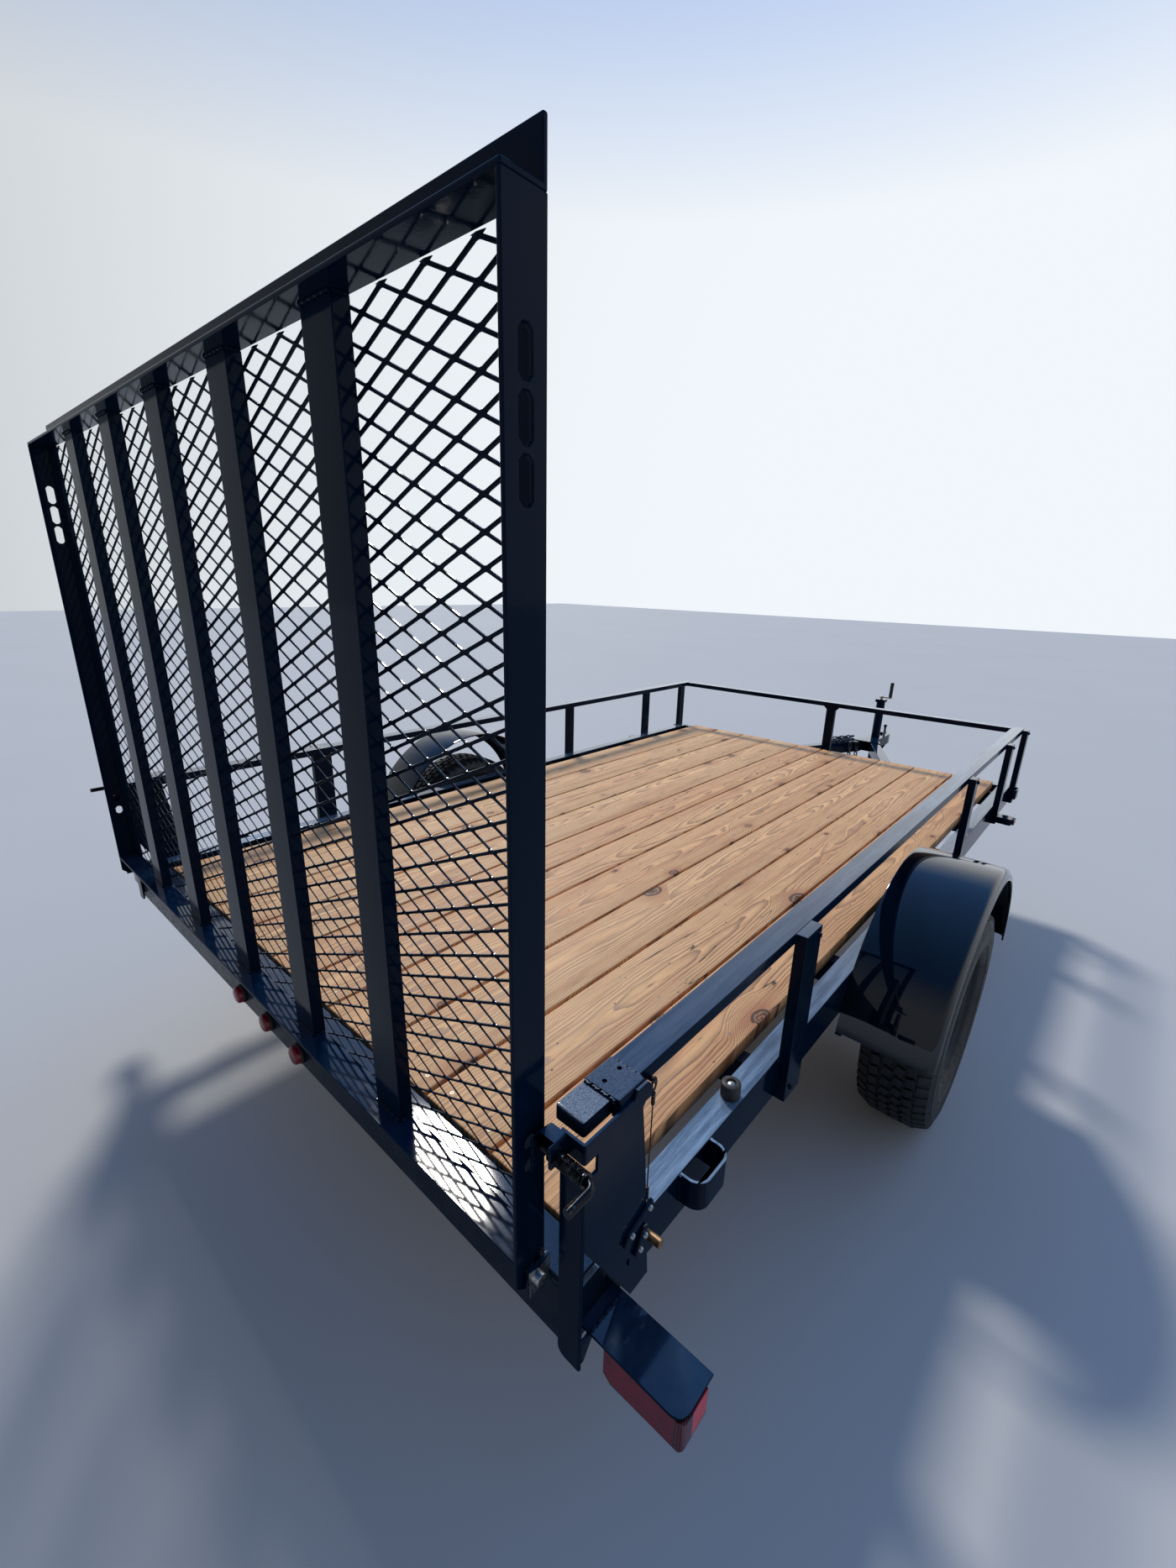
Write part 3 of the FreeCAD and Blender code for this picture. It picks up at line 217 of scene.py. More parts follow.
# Black paint: gloss enamel sprayed over rolled steel, with a slight orange peel and a little dust
# where a face looks up. Its navy tint, lighter on faces that look up, is a painted sky reflection.
# Pale blue streaks along the rails' tops, brighter towards the front, and along the side flanges are
# a painted sky reflection too. The paint went on thick, with a coarse orange peel, on the rear member
# and the rails' ends, and the pale flecks on the rails' ends and their collars are painted glints.
black_paint = Finish("black_paint", (0.003, 0.008, 0.018), 0.12)
paint_out = black_paint.part("X").maths("ABSOLUTE")
paint_along = black_paint.part("Y")
paint_high = black_paint.part("Z")
looks_up = black_paint.facing().ramp(0.8, 0.98)
speckled = paint_along.ramp(-2.231, -2.234) * paint_along.ramp(-2.3035, -2.303)
speckled = speckled * paint_out.ramp(1.0245, 1.0235)
# Painted sky reflection: the navy tint, lighter on faces that look up than on the rest.
paint_colour = black_paint.mix(looks_up, (0.0008, 0.0075, 0.0210), (0.0035, 0.0185, 0.0510))
dust = looks_up * black_paint.noise(7.0, 8.0, 0.7).ramp(0.45, 0.8)
paint_colour = black_paint.mix(dust * 0.25, paint_colour, (0.075, 0.085, 0.10))
on_rail = paint_high.ramp(0.9080, 0.9085) * paint_high.ramp(0.9118, 0.9112)
on_rail = on_rail * paint_along.ramp(-2.1, 1.2, 0.22, 1.0)
on_flange = paint_high.ramp(0.6010, 0.6020) * paint_high.ramp(0.6070, 0.6060) * paint_out.ramp(0.94, 0.95)
# Painted sky reflection: pale blue streaks on the rails' tops and the side flanges.
painted_sky_sheen = looks_up * (on_rail + on_flange * paint_along.ramp(-1.55, -1.95, 0.65, 1.25))
sheen_streaks = black_paint.noise(12.0, 6.0, 0.7, black_paint.stretched(5.0, 0.35, 5.0))
sheen_streaks = sheen_streaks.ramp(0.35, 0.68, 0.25, 0.80)
paint_colour = black_paint.mix(painted_sky_sheen * sheen_streaks, paint_colour, (0.25, 0.35, 0.48))
on_stub = speckled * looks_up * paint_high.ramp(0.880, 0.882)
on_collar = looks_up * paint_high.ramp(0.9118, 0.9124) * paint_along.ramp(-2.00, -2.10) * 0.30
on_collar = on_collar * paint_high.ramp(0.930, 0.925)
# Painted glints: pale flecks on the rails' ends and their collars.
painted_glint_flecks = (on_stub + on_collar) * black_paint.noise(420.0, 4.0, 0.7).ramp(0.30, 0.74, 0.12, 0.75)
black_paint.blend(painted_glint_flecks, paint_colour, (0.42, 0.48, 0.56))
black_paint.set("Roughness", black_paint.noise(24.0, 3.0).ramp(0.3, 0.75, 0.08, 0.16) + dust * 0.2)
black_paint.set("Specular IOR Level", 0.05)
black_paint.set("Coat Weight", looks_up * 0.96 + 0.03)
black_paint.set("Coat IOR", 1.6)
black_paint.set("Coat Roughness", 0.06)
peel = black_paint.noise(150.0, 2.0) * 0.15 + black_paint.noise(34.0, 2.0) * 0.35
black_paint.bump(peel + speckled * black_paint.noise(330.0, 4.0, 0.65) * 9.0, 0.0003)


def own(piece, body, finish, slot, *nodes):
    """Gives a finished piece its material and its body, and hides the CAD nodes that it stands for. The
    slot is not used.
    """
    piece.data.materials.clear()
    piece.data.materials.append(finish.material)
    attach(piece, body)
    if nodes:
        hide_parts(*nodes)
    return piece


def pick(kind, test):
    """Selects, on the piece in edit mode, each vertex, edge or face whose middle passes the test."""
    bpy.ops.mesh.select_mode(type=kind)
    bpy.ops.mesh.select_all(action="DESELECT")
    mesh = bmesh.from_edit_mesh(bpy.context.edit_object.data)
    for item in {"VERT": mesh.verts, "EDGE": mesh.edges, "FACE": mesh.faces}[kind]:
        corners = [item] if kind == "VERT" else item.verts
        middle = sum((corner.co for corner in corners), Vector()) / len(corners)
        item.select_set(bool(test(middle)))
    mesh.select_flush_mode()
    bmesh.update_edit_mesh(bpy.context.edit_object.data)


def pick_all():
    bpy.ops.mesh.select_all(action="SELECT")


def only(piece):
    """Leaves this piece alone selected, and active."""
    bpy.ops.object.select_all(action="DESELECT")
    piece.select_set(True)
    bpy.context.view_layer.objects.active = piece


def modify(piece, kind, **settings):
    """Gives the piece a modifier with these settings, and applies it."""
    modifier = piece.modifiers.new(kind, kind)
    for name, value in settings.items():
        setattr(modifier, name, value)
    bpy.context.view_layer.objects.active = piece
    bpy.ops.object.modifier_apply(modifier=modifier.name)


def round_edges(piece, width, steps, angle):
    modify(piece, "BEVEL", width=width, segments=steps, limit_method="ANGLE",
           angle_limit=math.radians(angle))


def shaped_copy(node, body, finish, slot, edge=0.002, steps=2, angle=25, bends=()):
    """A copy of a CAD node whose sharp edges are rounded as rolled steel's are. Each bend is a test
    for the middle of an edge, and the radius that the edge gets before the rest."""
    made = placed(node + "_eased", bpy.data.objects[node].data.copy())
    only(made)
    bpy.ops.object.mode_set(mode="EDIT")
    pick_all()
    bpy.ops.mesh.remove_doubles(threshold=0.00002)
    bpy.ops.mesh.dissolve_limited(angle_limit=math.radians(0.5))
    for test, radius in bends:
        pick("EDGE", test)
        bpy.ops.mesh.bevel(offset=radius, segments=4)
    bpy.ops.object.mode_set(mode="OBJECT")
    round_edges(made, edge, steps, angle)
    bpy.ops.object.shade_smooth_by_angle(angle=math.radians(38))
    modify(made, "WEIGHTED_NORMAL", keep_sharp=True)
    made.select_set(False)
    return own(made, body, finish, slot, node)


def painted(node, edge=0.0012, steps=2, bends=()):
    """A piece of the frame in painted steel."""
    return shaped_copy(node, "frame", black_paint, "black_paint", edge, steps, bends=bends)


# Frame: angle-iron side members, front and rear members, floor cross members and tongue members,
# welded up and painted as one.
for node in ("side_members", "front_member", "rear_member", "floor_cross_members", "tongue_members"):
    painted(node, 0.0025)


def begin(name):
    """Names the primitive that was just added, puts its place into its mesh and opens it for shaping."""
    piece = bpy.context.object
    piece.name = name
    bpy.ops.object.transform_apply(location=True, rotation=True, scale=True)
    bpy.ops.object.mode_set(mode="EDIT")
    return piece


def end(piece, edge=0.0, steps=2, angle=30, smooth=38):
    """Closes a shaped piece: its edges are rounded and its curves smoothed."""
    if piece.mode == "EDIT":
        bpy.ops.object.mode_set(mode="OBJECT")
    only(piece)
    if edge:
        round_edges(piece, edge, steps, angle)
    bpy.ops.object.shade_smooth_by_angle(angle=math.radians(smooth))
    piece.select_set(False)
    return piece


def copy_of(piece, name, move=(0, 0, 0), flip=False):
    """A copy with its own mesh, moved along, or mirrored to the trailer's other side."""
    made = piece.copy()
    made.data = piece.data.copy()
    made.name = name
    bpy.context.scene.collection.objects.link(made)
    made.data.transform(Matrix.Translation(move))
    if flip:
        made.data.transform(Matrix.Scale(-1, 4, (1, 0, 0)))
        made.data.flip_normals()
    return made


def joined(name, pieces):
    """Several shapes made one piece."""
    only(pieces[0])
    for piece in pieces[1:]:
        piece.select_set(True)
    bpy.ops.object.join()
    pieces[0].name = name
    pieces[0].select_set(False)
    return pieces[0]


# Deck: ten softwood planks, two of them narrower, laid lengthwise a screw's width apart. Their
# edges are eased, and each is sawn from another part of a log, so its rings arch at another pitch.
DECK_LEFT = -0.8823
DECK_FACE = 0.620
BOARD_GAP = 0.0087
BOARD_LONG = 3.254
BOARD_MIDDLE_Y = -0.607
BOARD_THICK = 0.038
WIDE_BOARD = 0.184
NARROW_BOARD = 0.140
BOARD_WIDTHS = [WIDE_BOARD] * 4 + [NARROW_BOARD] * 2 + [WIDE_BOARD] * 4
MAP_STEP = 5.0
deck_wood = Finish("deck_wood", (0.42, 0.2, 0.08), 0.5)
board_map = deck_wood.node("ShaderNodeUVMap", {"uv_map": "boards"}, {})
board_across = deck_wood.part("X", board_map)
board_number = (board_across / MAP_STEP).maths("ROUND")
across = board_across - board_number * MAP_STEP


def board_draw(start):
    """A number from 0 to 1 drawn once for each board."""
    return deck_wood.node("ShaderNodeTexWhiteNoise", {"noise_dimensions": "1D"},
                          {"W": board_number + start})


def grain_noise(scale_across, scale_along, detail=2.0, roughness=0.5):
    """Noise drawn out along a board, different on each."""
    stretched = deck_wood.stretched(scale_across, scale_along, 1, board_map)
    return deck_wood.noise(1.0, detail, roughness, stretched)


def spots(vector, output):
    """Scattered spots: how far the nearest one is, or a colour drawn for it."""
    return deck_wood.node("ShaderNodeTexVoronoi", {"voronoi_dimensions": "2D", "feature": "F1"},
                          {"Vector": vector, "Scale": 1.0}, output)


chance = board_draw(0.35)
second_chance = board_draw(7.6)
knot_map = deck_wood.node("ShaderNodeMapping", {}, {"Vector": board_map, "Scale": (5.2, 3.4, 1),
                                                    "Location": (0.3, 0.2, 0)})
knot_far = spots(knot_map, "Distance")
knot_kind = spots(knot_map, "Color")
knot_draw = deck_wood.part("X", knot_kind)
knot_size_draw = deck_wood.part("Y", knot_kind)
knot_there = knot_draw.ramp(0.56, 0.58)
knot_size = knot_size_draw * knot_size_draw * 0.085 + 0.038
knot_reach = (knot_far + (grain_noise(60, 60) - 0.5) * 0.02) / knot_size
knot_swirl = knot_far.ramp(0.46, 0.0) * knot_there * (knot_size * 0.5 + 0.014)
knot_halo = knot_reach.ramp(3.6, 0.9) * knot_there
pith_side = (chance - 0.5) * 0.10 + (grain_noise(0.7, 0.5) - 0.5) * 0.20
pith_deep = second_chance * 0.045 + 0.010 + grain_noise(0.9, 1.1, 1.0) * 0.07
off_pith = across - pith_side
ring_far = (off_pith * off_pith + pith_deep * pith_deep).power(0.5)
ripple = (grain_noise(5, 1.4) - 0.5) * 0.026 + (grain_noise(26, 6, 3.0) - 0.5) * 0.007
ripple = ripple + (grain_noise(110, 9) - 0.5) * 0.0016
RING_PITCH = 0.0054
ring_place = ((ring_far + ripple + knot_swirl) / RING_PITCH).maths("FRACT")
late_wood = ring_place.power(2.2) * ring_place.ramp(1.0, 0.9)
fibres = grain_noise(520, 6, 2.0, 0.6)
streaks = grain_noise(34, 0.9, 4.0, 0.65)
early_colour = deck_wood.mix(chance, (0.86, 0.515, 0.235), (0.82, 0.43, 0.185))
early_colour = deck_wood.mix(streaks.ramp(0.45, 0.7) * 0.7, early_colour, (0.60, 0.235, 0.09))
late_colour = deck_wood.mix(second_chance, (0.150, 0.050, 0.016), (0.200, 0.070, 0.024))
ring_strength = grain_noise(6, 0.8).ramp(0.25, 0.6, 0.75, 1.0)
wood = deck_wood.mix(late_wood * ring_strength, early_colour, late_colour)
wood = deck_wood.mix(fibres.ramp(0.52, 0.66) * 0.55, wood, (0.22, 0.08, 0.026))
wood = deck_wood.mix(knot_halo * 0.55, wood, (0.42, 0.125, 0.045))
knot_rings = (knot_reach * 2.3 + grain_noise(34, 34, 3.0) * 2.2).maths("FRACT").ramp(0.3, 0.9)
knot_colour = deck_wood.mix(knot_rings, (0.11, 0.034, 0.011), (0.42, 0.18, 0.07))
inside_knot = knot_reach.ramp(1.05, 0.95) * knot_there
wood = deck_wood.mix(inside_knot, wood, knot_colour)
knot_edge = knot_reach.ramp(0.78, 0.96) * knot_reach.ramp(1.3, 1.04) * knot_there
knot_edge = knot_edge * grain_noise(40, 40, 1.0).ramp(0.30, 0.42)
wood = deck_wood.mix(knot_edge * 0.95, wood, (0.025, 0.010, 0.006))
split = knot_reach.ramp(0.50, 0.25) * knot_there * knot_draw.ramp(0.75, 0.77)
check_line = (grain_noise(21, 0.7, 1.5) - 0.5).maths("ABSOLUTE").ramp(0.004, 0.0012)
split = split + check_line * grain_noise(4, 1.1, 1.0).ramp(0.54, 0.60)
speck_map = deck_wood.stretched(24, 15, 1, board_map)
speck = spots(speck_map, "Distance").ramp(0.065, 0.035)
speck = speck * deck_wood.part("X", spots(speck_map, "Color")).ramp(0.84, 0.85)
wood = deck_wood.mix((split + speck).maths("MINIMUM", 1.0) * 0.9, wood, (0.02, 0.011, 0.007))
smudge = grain_noise(9, 1.4, 6.0, 0.7).ramp(0.5, 0.8)
deck_wood.blend(smudge * 0.4, wood, (0.38, 0.17, 0.08))
deck_wood.set("Roughness", late_wood.ramp(0.0, 1.0, 0.56, 0.42) + fibres * 0.1)
deck_wood.bump(late_wood * 0.6 + fibres * 0.5 + split * -3.0 - knot_edge, 0.0006)


def plank(wide):
    """A plank at the deck's left edge, from the rear member to the front one."""
    middle = (DECK_LEFT + wide / 2, BOARD_MIDDLE_Y, DECK_FACE - BOARD_THICK / 2)
    bpy.ops.mesh.primitive_cube_add(size=1, location=middle, scale=(wide, BOARD_LONG, BOARD_THICK))
    board = begin("plank")
    pick_all()
    bpy.ops.mesh.bevel(offset=0.0032, segments=3)
    return end(board)


plank_start = DECK_LEFT
first_planks = {wide: plank(wide) for wide in (WIDE_BOARD, NARROW_BOARD)}
for number, wide in enumerate(BOARD_WIDTHS, start=1):
    board = copy_of(first_planks[wide], "plank_%d" % number, (plank_start - DECK_LEFT, 0, 0))
    uv = board.data.uv_layers.active.data
    board.data.uv_layers.active.name = "boards"
    for loop in board.data.loops:
        spot = board.data.vertices[loop.vertex_index].co
        uv[loop.index].uv = (MAP_STEP * number + spot.x - plank_start - wide / 2,
                             spot.y + 0.4 * (DECK_FACE - spot.z))
    own(board, "frame", deck_wood, "deck_wood", "deck_boards")
    plank_start += wide + BOARD_GAP
for board in first_planks.values():
    bpy.data.objects.remove(board)

# Deck screws: two at each plank over each cross member. Each is a tarnished plated head, flush with
# the face and hollow in its middle.
SCREW_ROWS = 7
SCREW_ROW_STEP = 0.526
SCREW_FROM_EDGE = 0.032
screw_plate = Finish("screw_plate", (0.28, 0.26, 0.22), 0.42, 0.85)
tarnish = screw_plate.noise(300.0, 3.0)
screw_plate.blend(tarnish, (0.30, 0.27, 0.21), (0.16, 0.15, 0.14))
bpy.ops.mesh.primitive_circle_add(vertices=12, radius=0.0042, fill_type="NGON",
                                  location=(DECK_LEFT, -2.2, DECK_FACE + 0.0003))
screw = begin("screw")
bpy.ops.mesh.inset(thickness=0.0022)
bpy.ops.mesh.extrude_region_move(TRANSFORM_OT_translate={"value": (0, 0, -0.0012)})
end(screw)
screws = []
plank_start = DECK_LEFT
for number, wide in enumerate(BOARD_WIDTHS):
    for row in range(SCREW_ROWS):
        for side in (SCREW_FROM_EDGE, wide - SCREW_FROM_EDGE):
            wander = 0.004 * math.sin(37.0 * number + 11.0 * row + 400.0 * side)
            place = (plank_start - DECK_LEFT + side, SCREW_ROW_STEP * row + wander, 0)
            screws.append(copy_of(screw, "screw", place))
    plank_start += wide + BOARD_GAP
bpy.data.objects.remove(screw)
own(joined("deck_screws", screws), "frame", screw_plate, "zinc_plate")

# Rails: flat steel tube on posts round three sides, with collars and bent plates at the rear
# corners, and the small pockets, shelves and brackets. All are welded and painted with the frame.
for node in ("top_front_rail", "side_posts", "rear_posts", "front_post", "marker_brackets"):
    painted(node, 0.003, 3)
painted("top_side_rails", 0.003, 3, [(lambda spot: spot.y < -2.2915, 0.0075)])
painted("rail_end_caps", bends=[(lambda spot: abs(spot.x) > 1.037 and spot.z > 0.914, 0.006),
                                (lambda spot: abs(spot.x) < 0.973 and spot.z > 0.914, 0.003)])
painted("corner_plates",
        bends=[(lambda spot: abs(spot.x) < 1.001 and spot.z < 0.481 and spot.y < -2.305, 0.014),
               (lambda spot: abs(spot.x) > 1.0425 and spot.y < -2.3085, 0.0042)])
painted("lamp_shelves",
        bends=[(lambda spot: abs(spot.x) > 1.180 and spot.y < -2.269 and 0.536 < spot.z < 0.539, 0.005)])
painted("stake_pockets",
        bends=[(lambda spot: abs(spot.x) > 1.0510 and not 1.06 < abs(spot.x) < 1.067
                and 0.573 < spot.z < 0.575, 0.0095),
               (lambda spot: 1.045 < abs(spot.x) < 1.065 and 0.573 < spot.z < 0.575
                and -2.030 < spot.y < -1.930 and not -2.01 < spot.y < -1.95, 0.0075)])
painted("latch_brackets",
        bends=[(lambda spot: spot.z > 0.9015 and not 0.9795 <= abs(spot.x) <= 1.0135, 0.008),
               (lambda spot: 0.8965 < spot.z < 0.8975 and not 0.9845 <= abs(spot.x) <= 1.0085, 0.003)])
painted("fender_brackets")

# Gate frame: two angles with adjusting slots, five inner tubes, and angles along the top and the
# foot, welded and painted.
for node in ("gate_side_bars", "gate_top_bar", "gate_bottom_bar"):
    shaped_copy(node, "gate", black_paint, "black_paint", 0.0018)
shaped_copy("gate_inner_bars", "gate", black_paint, "black_paint", 0.003, 3)

# Gate mesh: raised expanded steel. One diamond is cut and pulled so that its upper strands lean
# forward and its lower ones back, and the sheet repeats it in two staggered sets.
DIAMOND_LONG = 0.0847
DIAMOND_SHORT = 0.0375
STRAND = 0.0046
STRAND_LEAN = 0.0009
CROSSING = (0.786, 1.810)
COLUMNS_BEFORE = 21.5
ROWS_BELOW = 31
COLUMNS = 25
ROWS = 35
MESH_PLANE = -2.3023


def on_opening(spot):
    return abs(spot.x) / DIAMOND_LONG + abs(spot.z) / DIAMOND_SHORT < 0.49


bpy.ops.mesh.primitive_circle_add(vertices=4, radius=1, fill_type="NGON", rotation=(math.pi / 2, 0, 0))
mesh_sheet = begin("gate_mesh")
pick_all()
bpy.ops.transform.resize(value=(DIAMOND_LONG / 2, 1, DIAMOND_SHORT / 2))
bpy.ops.mesh.inset(thickness=STRAND / 2)
bpy.ops.mesh.delete(type="FACE")
pick("VERT", on_opening)
bpy.ops.mesh.bevel(offset=0.0035, segments=2, affect="VERTICES")
for sign in (1, -1):
    pick("VERT", lambda spot: sign * spot.z > 0.0008 and on_opening(spot))
    bpy.ops.transform.translate(value=(0, sign * STRAND_LEAN, 0))
pick_all()
bpy.ops.transform.translate(value=(CROSSING[0] - COLUMNS_BEFORE * DIAMOND_LONG, MESH_PLANE,
                                   CROSSING[1] - ROWS_BELOW * DIAMOND_SHORT))
bpy.ops.mesh.duplicate_move(TRANSFORM_OT_translate={"value": (DIAMOND_LONG / 2, 0, DIAMOND_SHORT / 2)})
bpy.ops.object.mode_set(mode="OBJECT")
for count, step in ((COLUMNS, (DIAMOND_LONG, 0, 0)), (ROWS, (0, 0, DIAMOND_SHORT))):
    modify(mesh_sheet, "ARRAY", use_relative_offset=False, use_constant_offset=True,
           constant_offset_displace=step, count=count)
bpy.ops.object.mode_set(mode="EDIT")
pick_all()
bpy.ops.mesh.remove_doubles(threshold=0.0004)
for place, normal in (((0.957, 0, 0), (1, 0, 0)), ((-0.957, 0, 0), (-1, 0, 0)),
                      ((0, 0, 1.8875), (0, 0, 1)), ((0, 0, 0.6675), (0, 0, -1))):
    pick_all()
    bpy.ops.mesh.bisect(plane_co=place, plane_no=normal, clear_outer=True)
bpy.ops.object.mode_set(mode="OBJECT")
modify(mesh_sheet, "SOLIDIFY", thickness=0.0016, offset=0)
end(mesh_sheet, smooth=25)
own(mesh_sheet, "gate", black_paint, "black_paint", "gate_mesh_rising", "gate_mesh_falling")


def turned(name, rows, centre, axis="Z", steps=48, sweep=360, start=0):
    """A turned piece: its outline, in rows of place along the axis and radius, is spun about the axis."""
    line = Vector((axis == "X", axis == "Y", axis == "Z"))
    outward = math.cos(math.radians(start)) * line.zxy + math.sin(math.radians(start)) * line.yzx
    bpy.ops.mesh.primitive_circle_add(vertices=len(rows), radius=1)
    piece = begin(name)
    outline = bmesh.from_edit_mesh(piece.data)
    for corner, (place, radius) in zip(outline.verts, rows):
        corner.co = Vector(centre) + place * line + radius * outward
    bmesh.update_edit_mesh(piece.data)
    pick_all()
    bpy.ops.mesh.spin(steps=steps, angle=-math.radians(sweep), center=centre, axis=line)
    pick_all()
    bpy.ops.mesh.remove_doubles(threshold=0.00002)
    bpy.ops.mesh.delete_loose(use_verts=True, use_edges=True, use_faces=False)
    if sweep < 360:
        pick_all()
        bpy.ops.mesh.fill_holes(sides=0)
    pick_all()
    bpy.ops.mesh.normals_make_consistent(inside=False)
    return end(piece)


def rod(name, points, radius, bend=0.0, sides=3, ripple=0.0, closed=False):
    """A round bar bent through the points. A ripple swells it step by step, as a weld bead is laid."""
    path = [Vector(points[0])]
    for before, corner, after in zip(points, points[1:], points[2:]):
        corner = Vector(corner)
        if not bend:
            path.append(corner)
            continue
        inward = (Vector(before) - corner).normalized()
        outward = (Vector(after) - corner).normalized()
        reach = bend / math.tan(inward.angle(outward) / 2)
        for step in range(7):
            share = step / 6
            into = corner + inward * reach * (1 - share)
            path.append(into.lerp(corner + outward * reach * share, share))
    path.append(Vector(points[-1]))
    curve = bpy.data.curves.new(name, "CURVE")
    curve.dimensions = "3D"
    curve.bevel_depth = radius
    curve.bevel_resolution = sides
    curve.use_fill_caps = not closed
    line = curve.splines.new("POLY")
    line.points.add(len(path) - 1)
    line.use_cyclic_u = closed
    for number, (point, place) in enumerate(zip(line.points, path)):
        point.co = (*place, 1)
        point.radius = 1 - ripple * (number % 2)
    piece = placed(name, curve)
    only(piece)
    bpy.ops.object.convert(target="MESH")
    return end(piece, smooth=50)


def repaint(piece, finish, test):
    """Gives the faces whose middle passes the test a second finish."""
    piece.data.materials.append(finish.material)
    for face in piece.data.polygons:
        if test(face.center):
            face.material_index = len(piece.data.materials) - 1


# Weld beads: at the collars, posts, pockets, shelves, corner plates and the gate's bars. Each is a
# thin rippled line, 5 to 7 mm wide, painted over with the steel that it joins.
def both_sides(piece, body, finish, slot, *nodes):
    """Gives a finished piece of the right side, and its mirrored copy on the left, to their body."""
    mirrored = copy_of(piece, piece.name.replace("right", "left"), flip=True)
    own(piece, body, finish, slot, *nodes)
    own(mirrored, body, finish, slot, *nodes)


def bead(start, stop, radius=0.0027):
    start = Vector(start)
    stop = Vector(stop)
    count = max(4, round((stop - start).length / 0.0026))
    sideways = (stop - start).normalized().orthogonal() * 0.0007
    path = []
    for step in range(count + 1):
        path.append(start.lerp(stop, step / count) + sideways * math.sin(2.1 * step))
    return rod("bead", path, radius, 0, 1, ripple=0.28)


FLANGE_OUTSIDE = 1.0245
GATE_BAR_MIDDLES = (-0.660, -0.345, -0.030, 0.285, 0.600)
beads = []
for place_y in (-2.2335, -2.1745):
    beads.append(bead((0.975, place_y, 0.9110), (1.030, place_y, 0.9110), 0.0034))
for rear, front, foot, head in ((-1.652, -1.576, 0.506, 0.908), (-0.1445, -0.0935, 0.528, 0.904),
                                (0.6005, 0.6515, 0.528, 0.904)):
    for place_y in (rear - 0.001, front + 0.001):
        for low, high in ((foot, 0.601), (0.888, head)):
            beads.append(bead((FLANGE_OUTSIDE, place_y, low), (FLANGE_OUTSIDE, place_y, high)))
    beads.append(bead((1.0240, rear + 0.003, 0.8845), (1.0240, front - 0.003, 0.8845)))
for place_y in (-2.0318, -1.9282):
    beads.append(bead((FLANGE_OUTSIDE, place_y, 0.546), (FLANGE_OUTSIDE, place_y, 0.602)))
beads.append(bead((1.0445, -2.284, 0.5410), (1.0445, -2.213, 0.5410)))
beads.append(bead((1.0185, -2.3055, 0.6150), (1.0375, -2.3055, 0.6150)))
both_sides(joined("weld_beads_right", beads), "frame", black_paint, "black_paint")
gate_beads = []
for middle in GATE_BAR_MIDDLES:
    for place_z in (0.6740, 1.8870):
        gate_beads.append(bead((middle - 0.036, -2.3302, place_z), (middle + 0.036, -2.3302, place_z)))
        for side in (-0.0388, 0.0388):
            gate_beads.append(bead((middle + side, -2.3285, place_z), (middle + side, -2.3060, place_z)))
for side in (-0.9600, 0.9600):
    for place_z in (0.6740, 1.8870):
        gate_beads.append(bead((side, -2.3560, place_z), (side, -2.3120, place_z)))
own(joined("gate_weld_beads", gate_beads), "gate", black_paint, "black_paint")

# Post bolts and front pockets: a button-head bolt near the head of each outside post and one at the
# rear posts' feet, and a bent strap round each front post's foot. All are painted with the frame.
bolt_rows = [(1.0475, 0.0), (1.0475, 0.0085), (1.0490, 0.0085), (1.0490, 0.0066), (1.0515, 0.0060),
             (1.0532, 0.0040), (1.0536, 0.0)]
bolt = turned("post_bolt", bolt_rows, (0, 0, 0), "X", 16)
bolts = [copy_of(bolt, "post_bolt", (0, place_y, place_z)) for place_y, place_z in
         ((-1.589, 0.890), (-1.628, 0.530), (-0.104, 0.888), (0.641, 0.888), (1.060, 0.888))]
bpy.data.objects.remove(bolt)
both_sides(joined("post_bolts_right", bolts), "frame", black_paint, "black_paint")
bpy.ops.mesh.primitive_cube_add(size=1, location=(1.0425, 1.0455, 0.573), scale=(0.0375, 0.075, 0.050))
front_pocket = begin("front_pocket_right")
pick("FACE", lambda spot: spot.z > 0.597 or spot.z < 0.549 or spot.x < 1.025)
bpy.ops.mesh.delete(type="FACE")
pick("EDGE", lambda spot: spot.x > 1.060 and 0.572 < spot.z < 0.574 and abs(spot.y - 1.0455) > 0.03)
bpy.ops.mesh.bevel(offset=0.010, segments=4)
bpy.ops.object.mode_set(mode="OBJECT")
modify(front_pocket, "SOLIDIFY", thickness=0.005)
both_sides(end(front_pocket, 0.001), "frame", black_paint, "black_paint")

# Gate hinges: a tab on the rear member's back, painted, and through it a bright plated bolt that
# the gate turns on.
HINGE_Y = -2.331
HINGE_Z = 0.639
zinc = Finish("zinc", (0.5, 0.5, 0.47), 0.3, 1.0)
zinc_cloud = zinc.noise(160.0, 4.0, 0.6)
zinc.blend(zinc_cloud.ramp(0.35, 0.7), (0.58, 0.58, 0.55), (0.33, 0.33, 0.31))
zinc.set("Roughness", zinc_cloud.ramp(0.3, 0.8, 0.22, 0.45))
zinc.bump(zinc.noise(700.0, 2.0), 0.0001)
hinges = shaped_copy("gate_hinges", "frame", black_paint, "zinc_plate", 0.001)
repaint(hinges, zinc,
        lambda spot: abs(spot.x) > 0.9775 or math.hypot(spot.y - HINGE_Y, spot.z - HINGE_Z) < 0.0095)

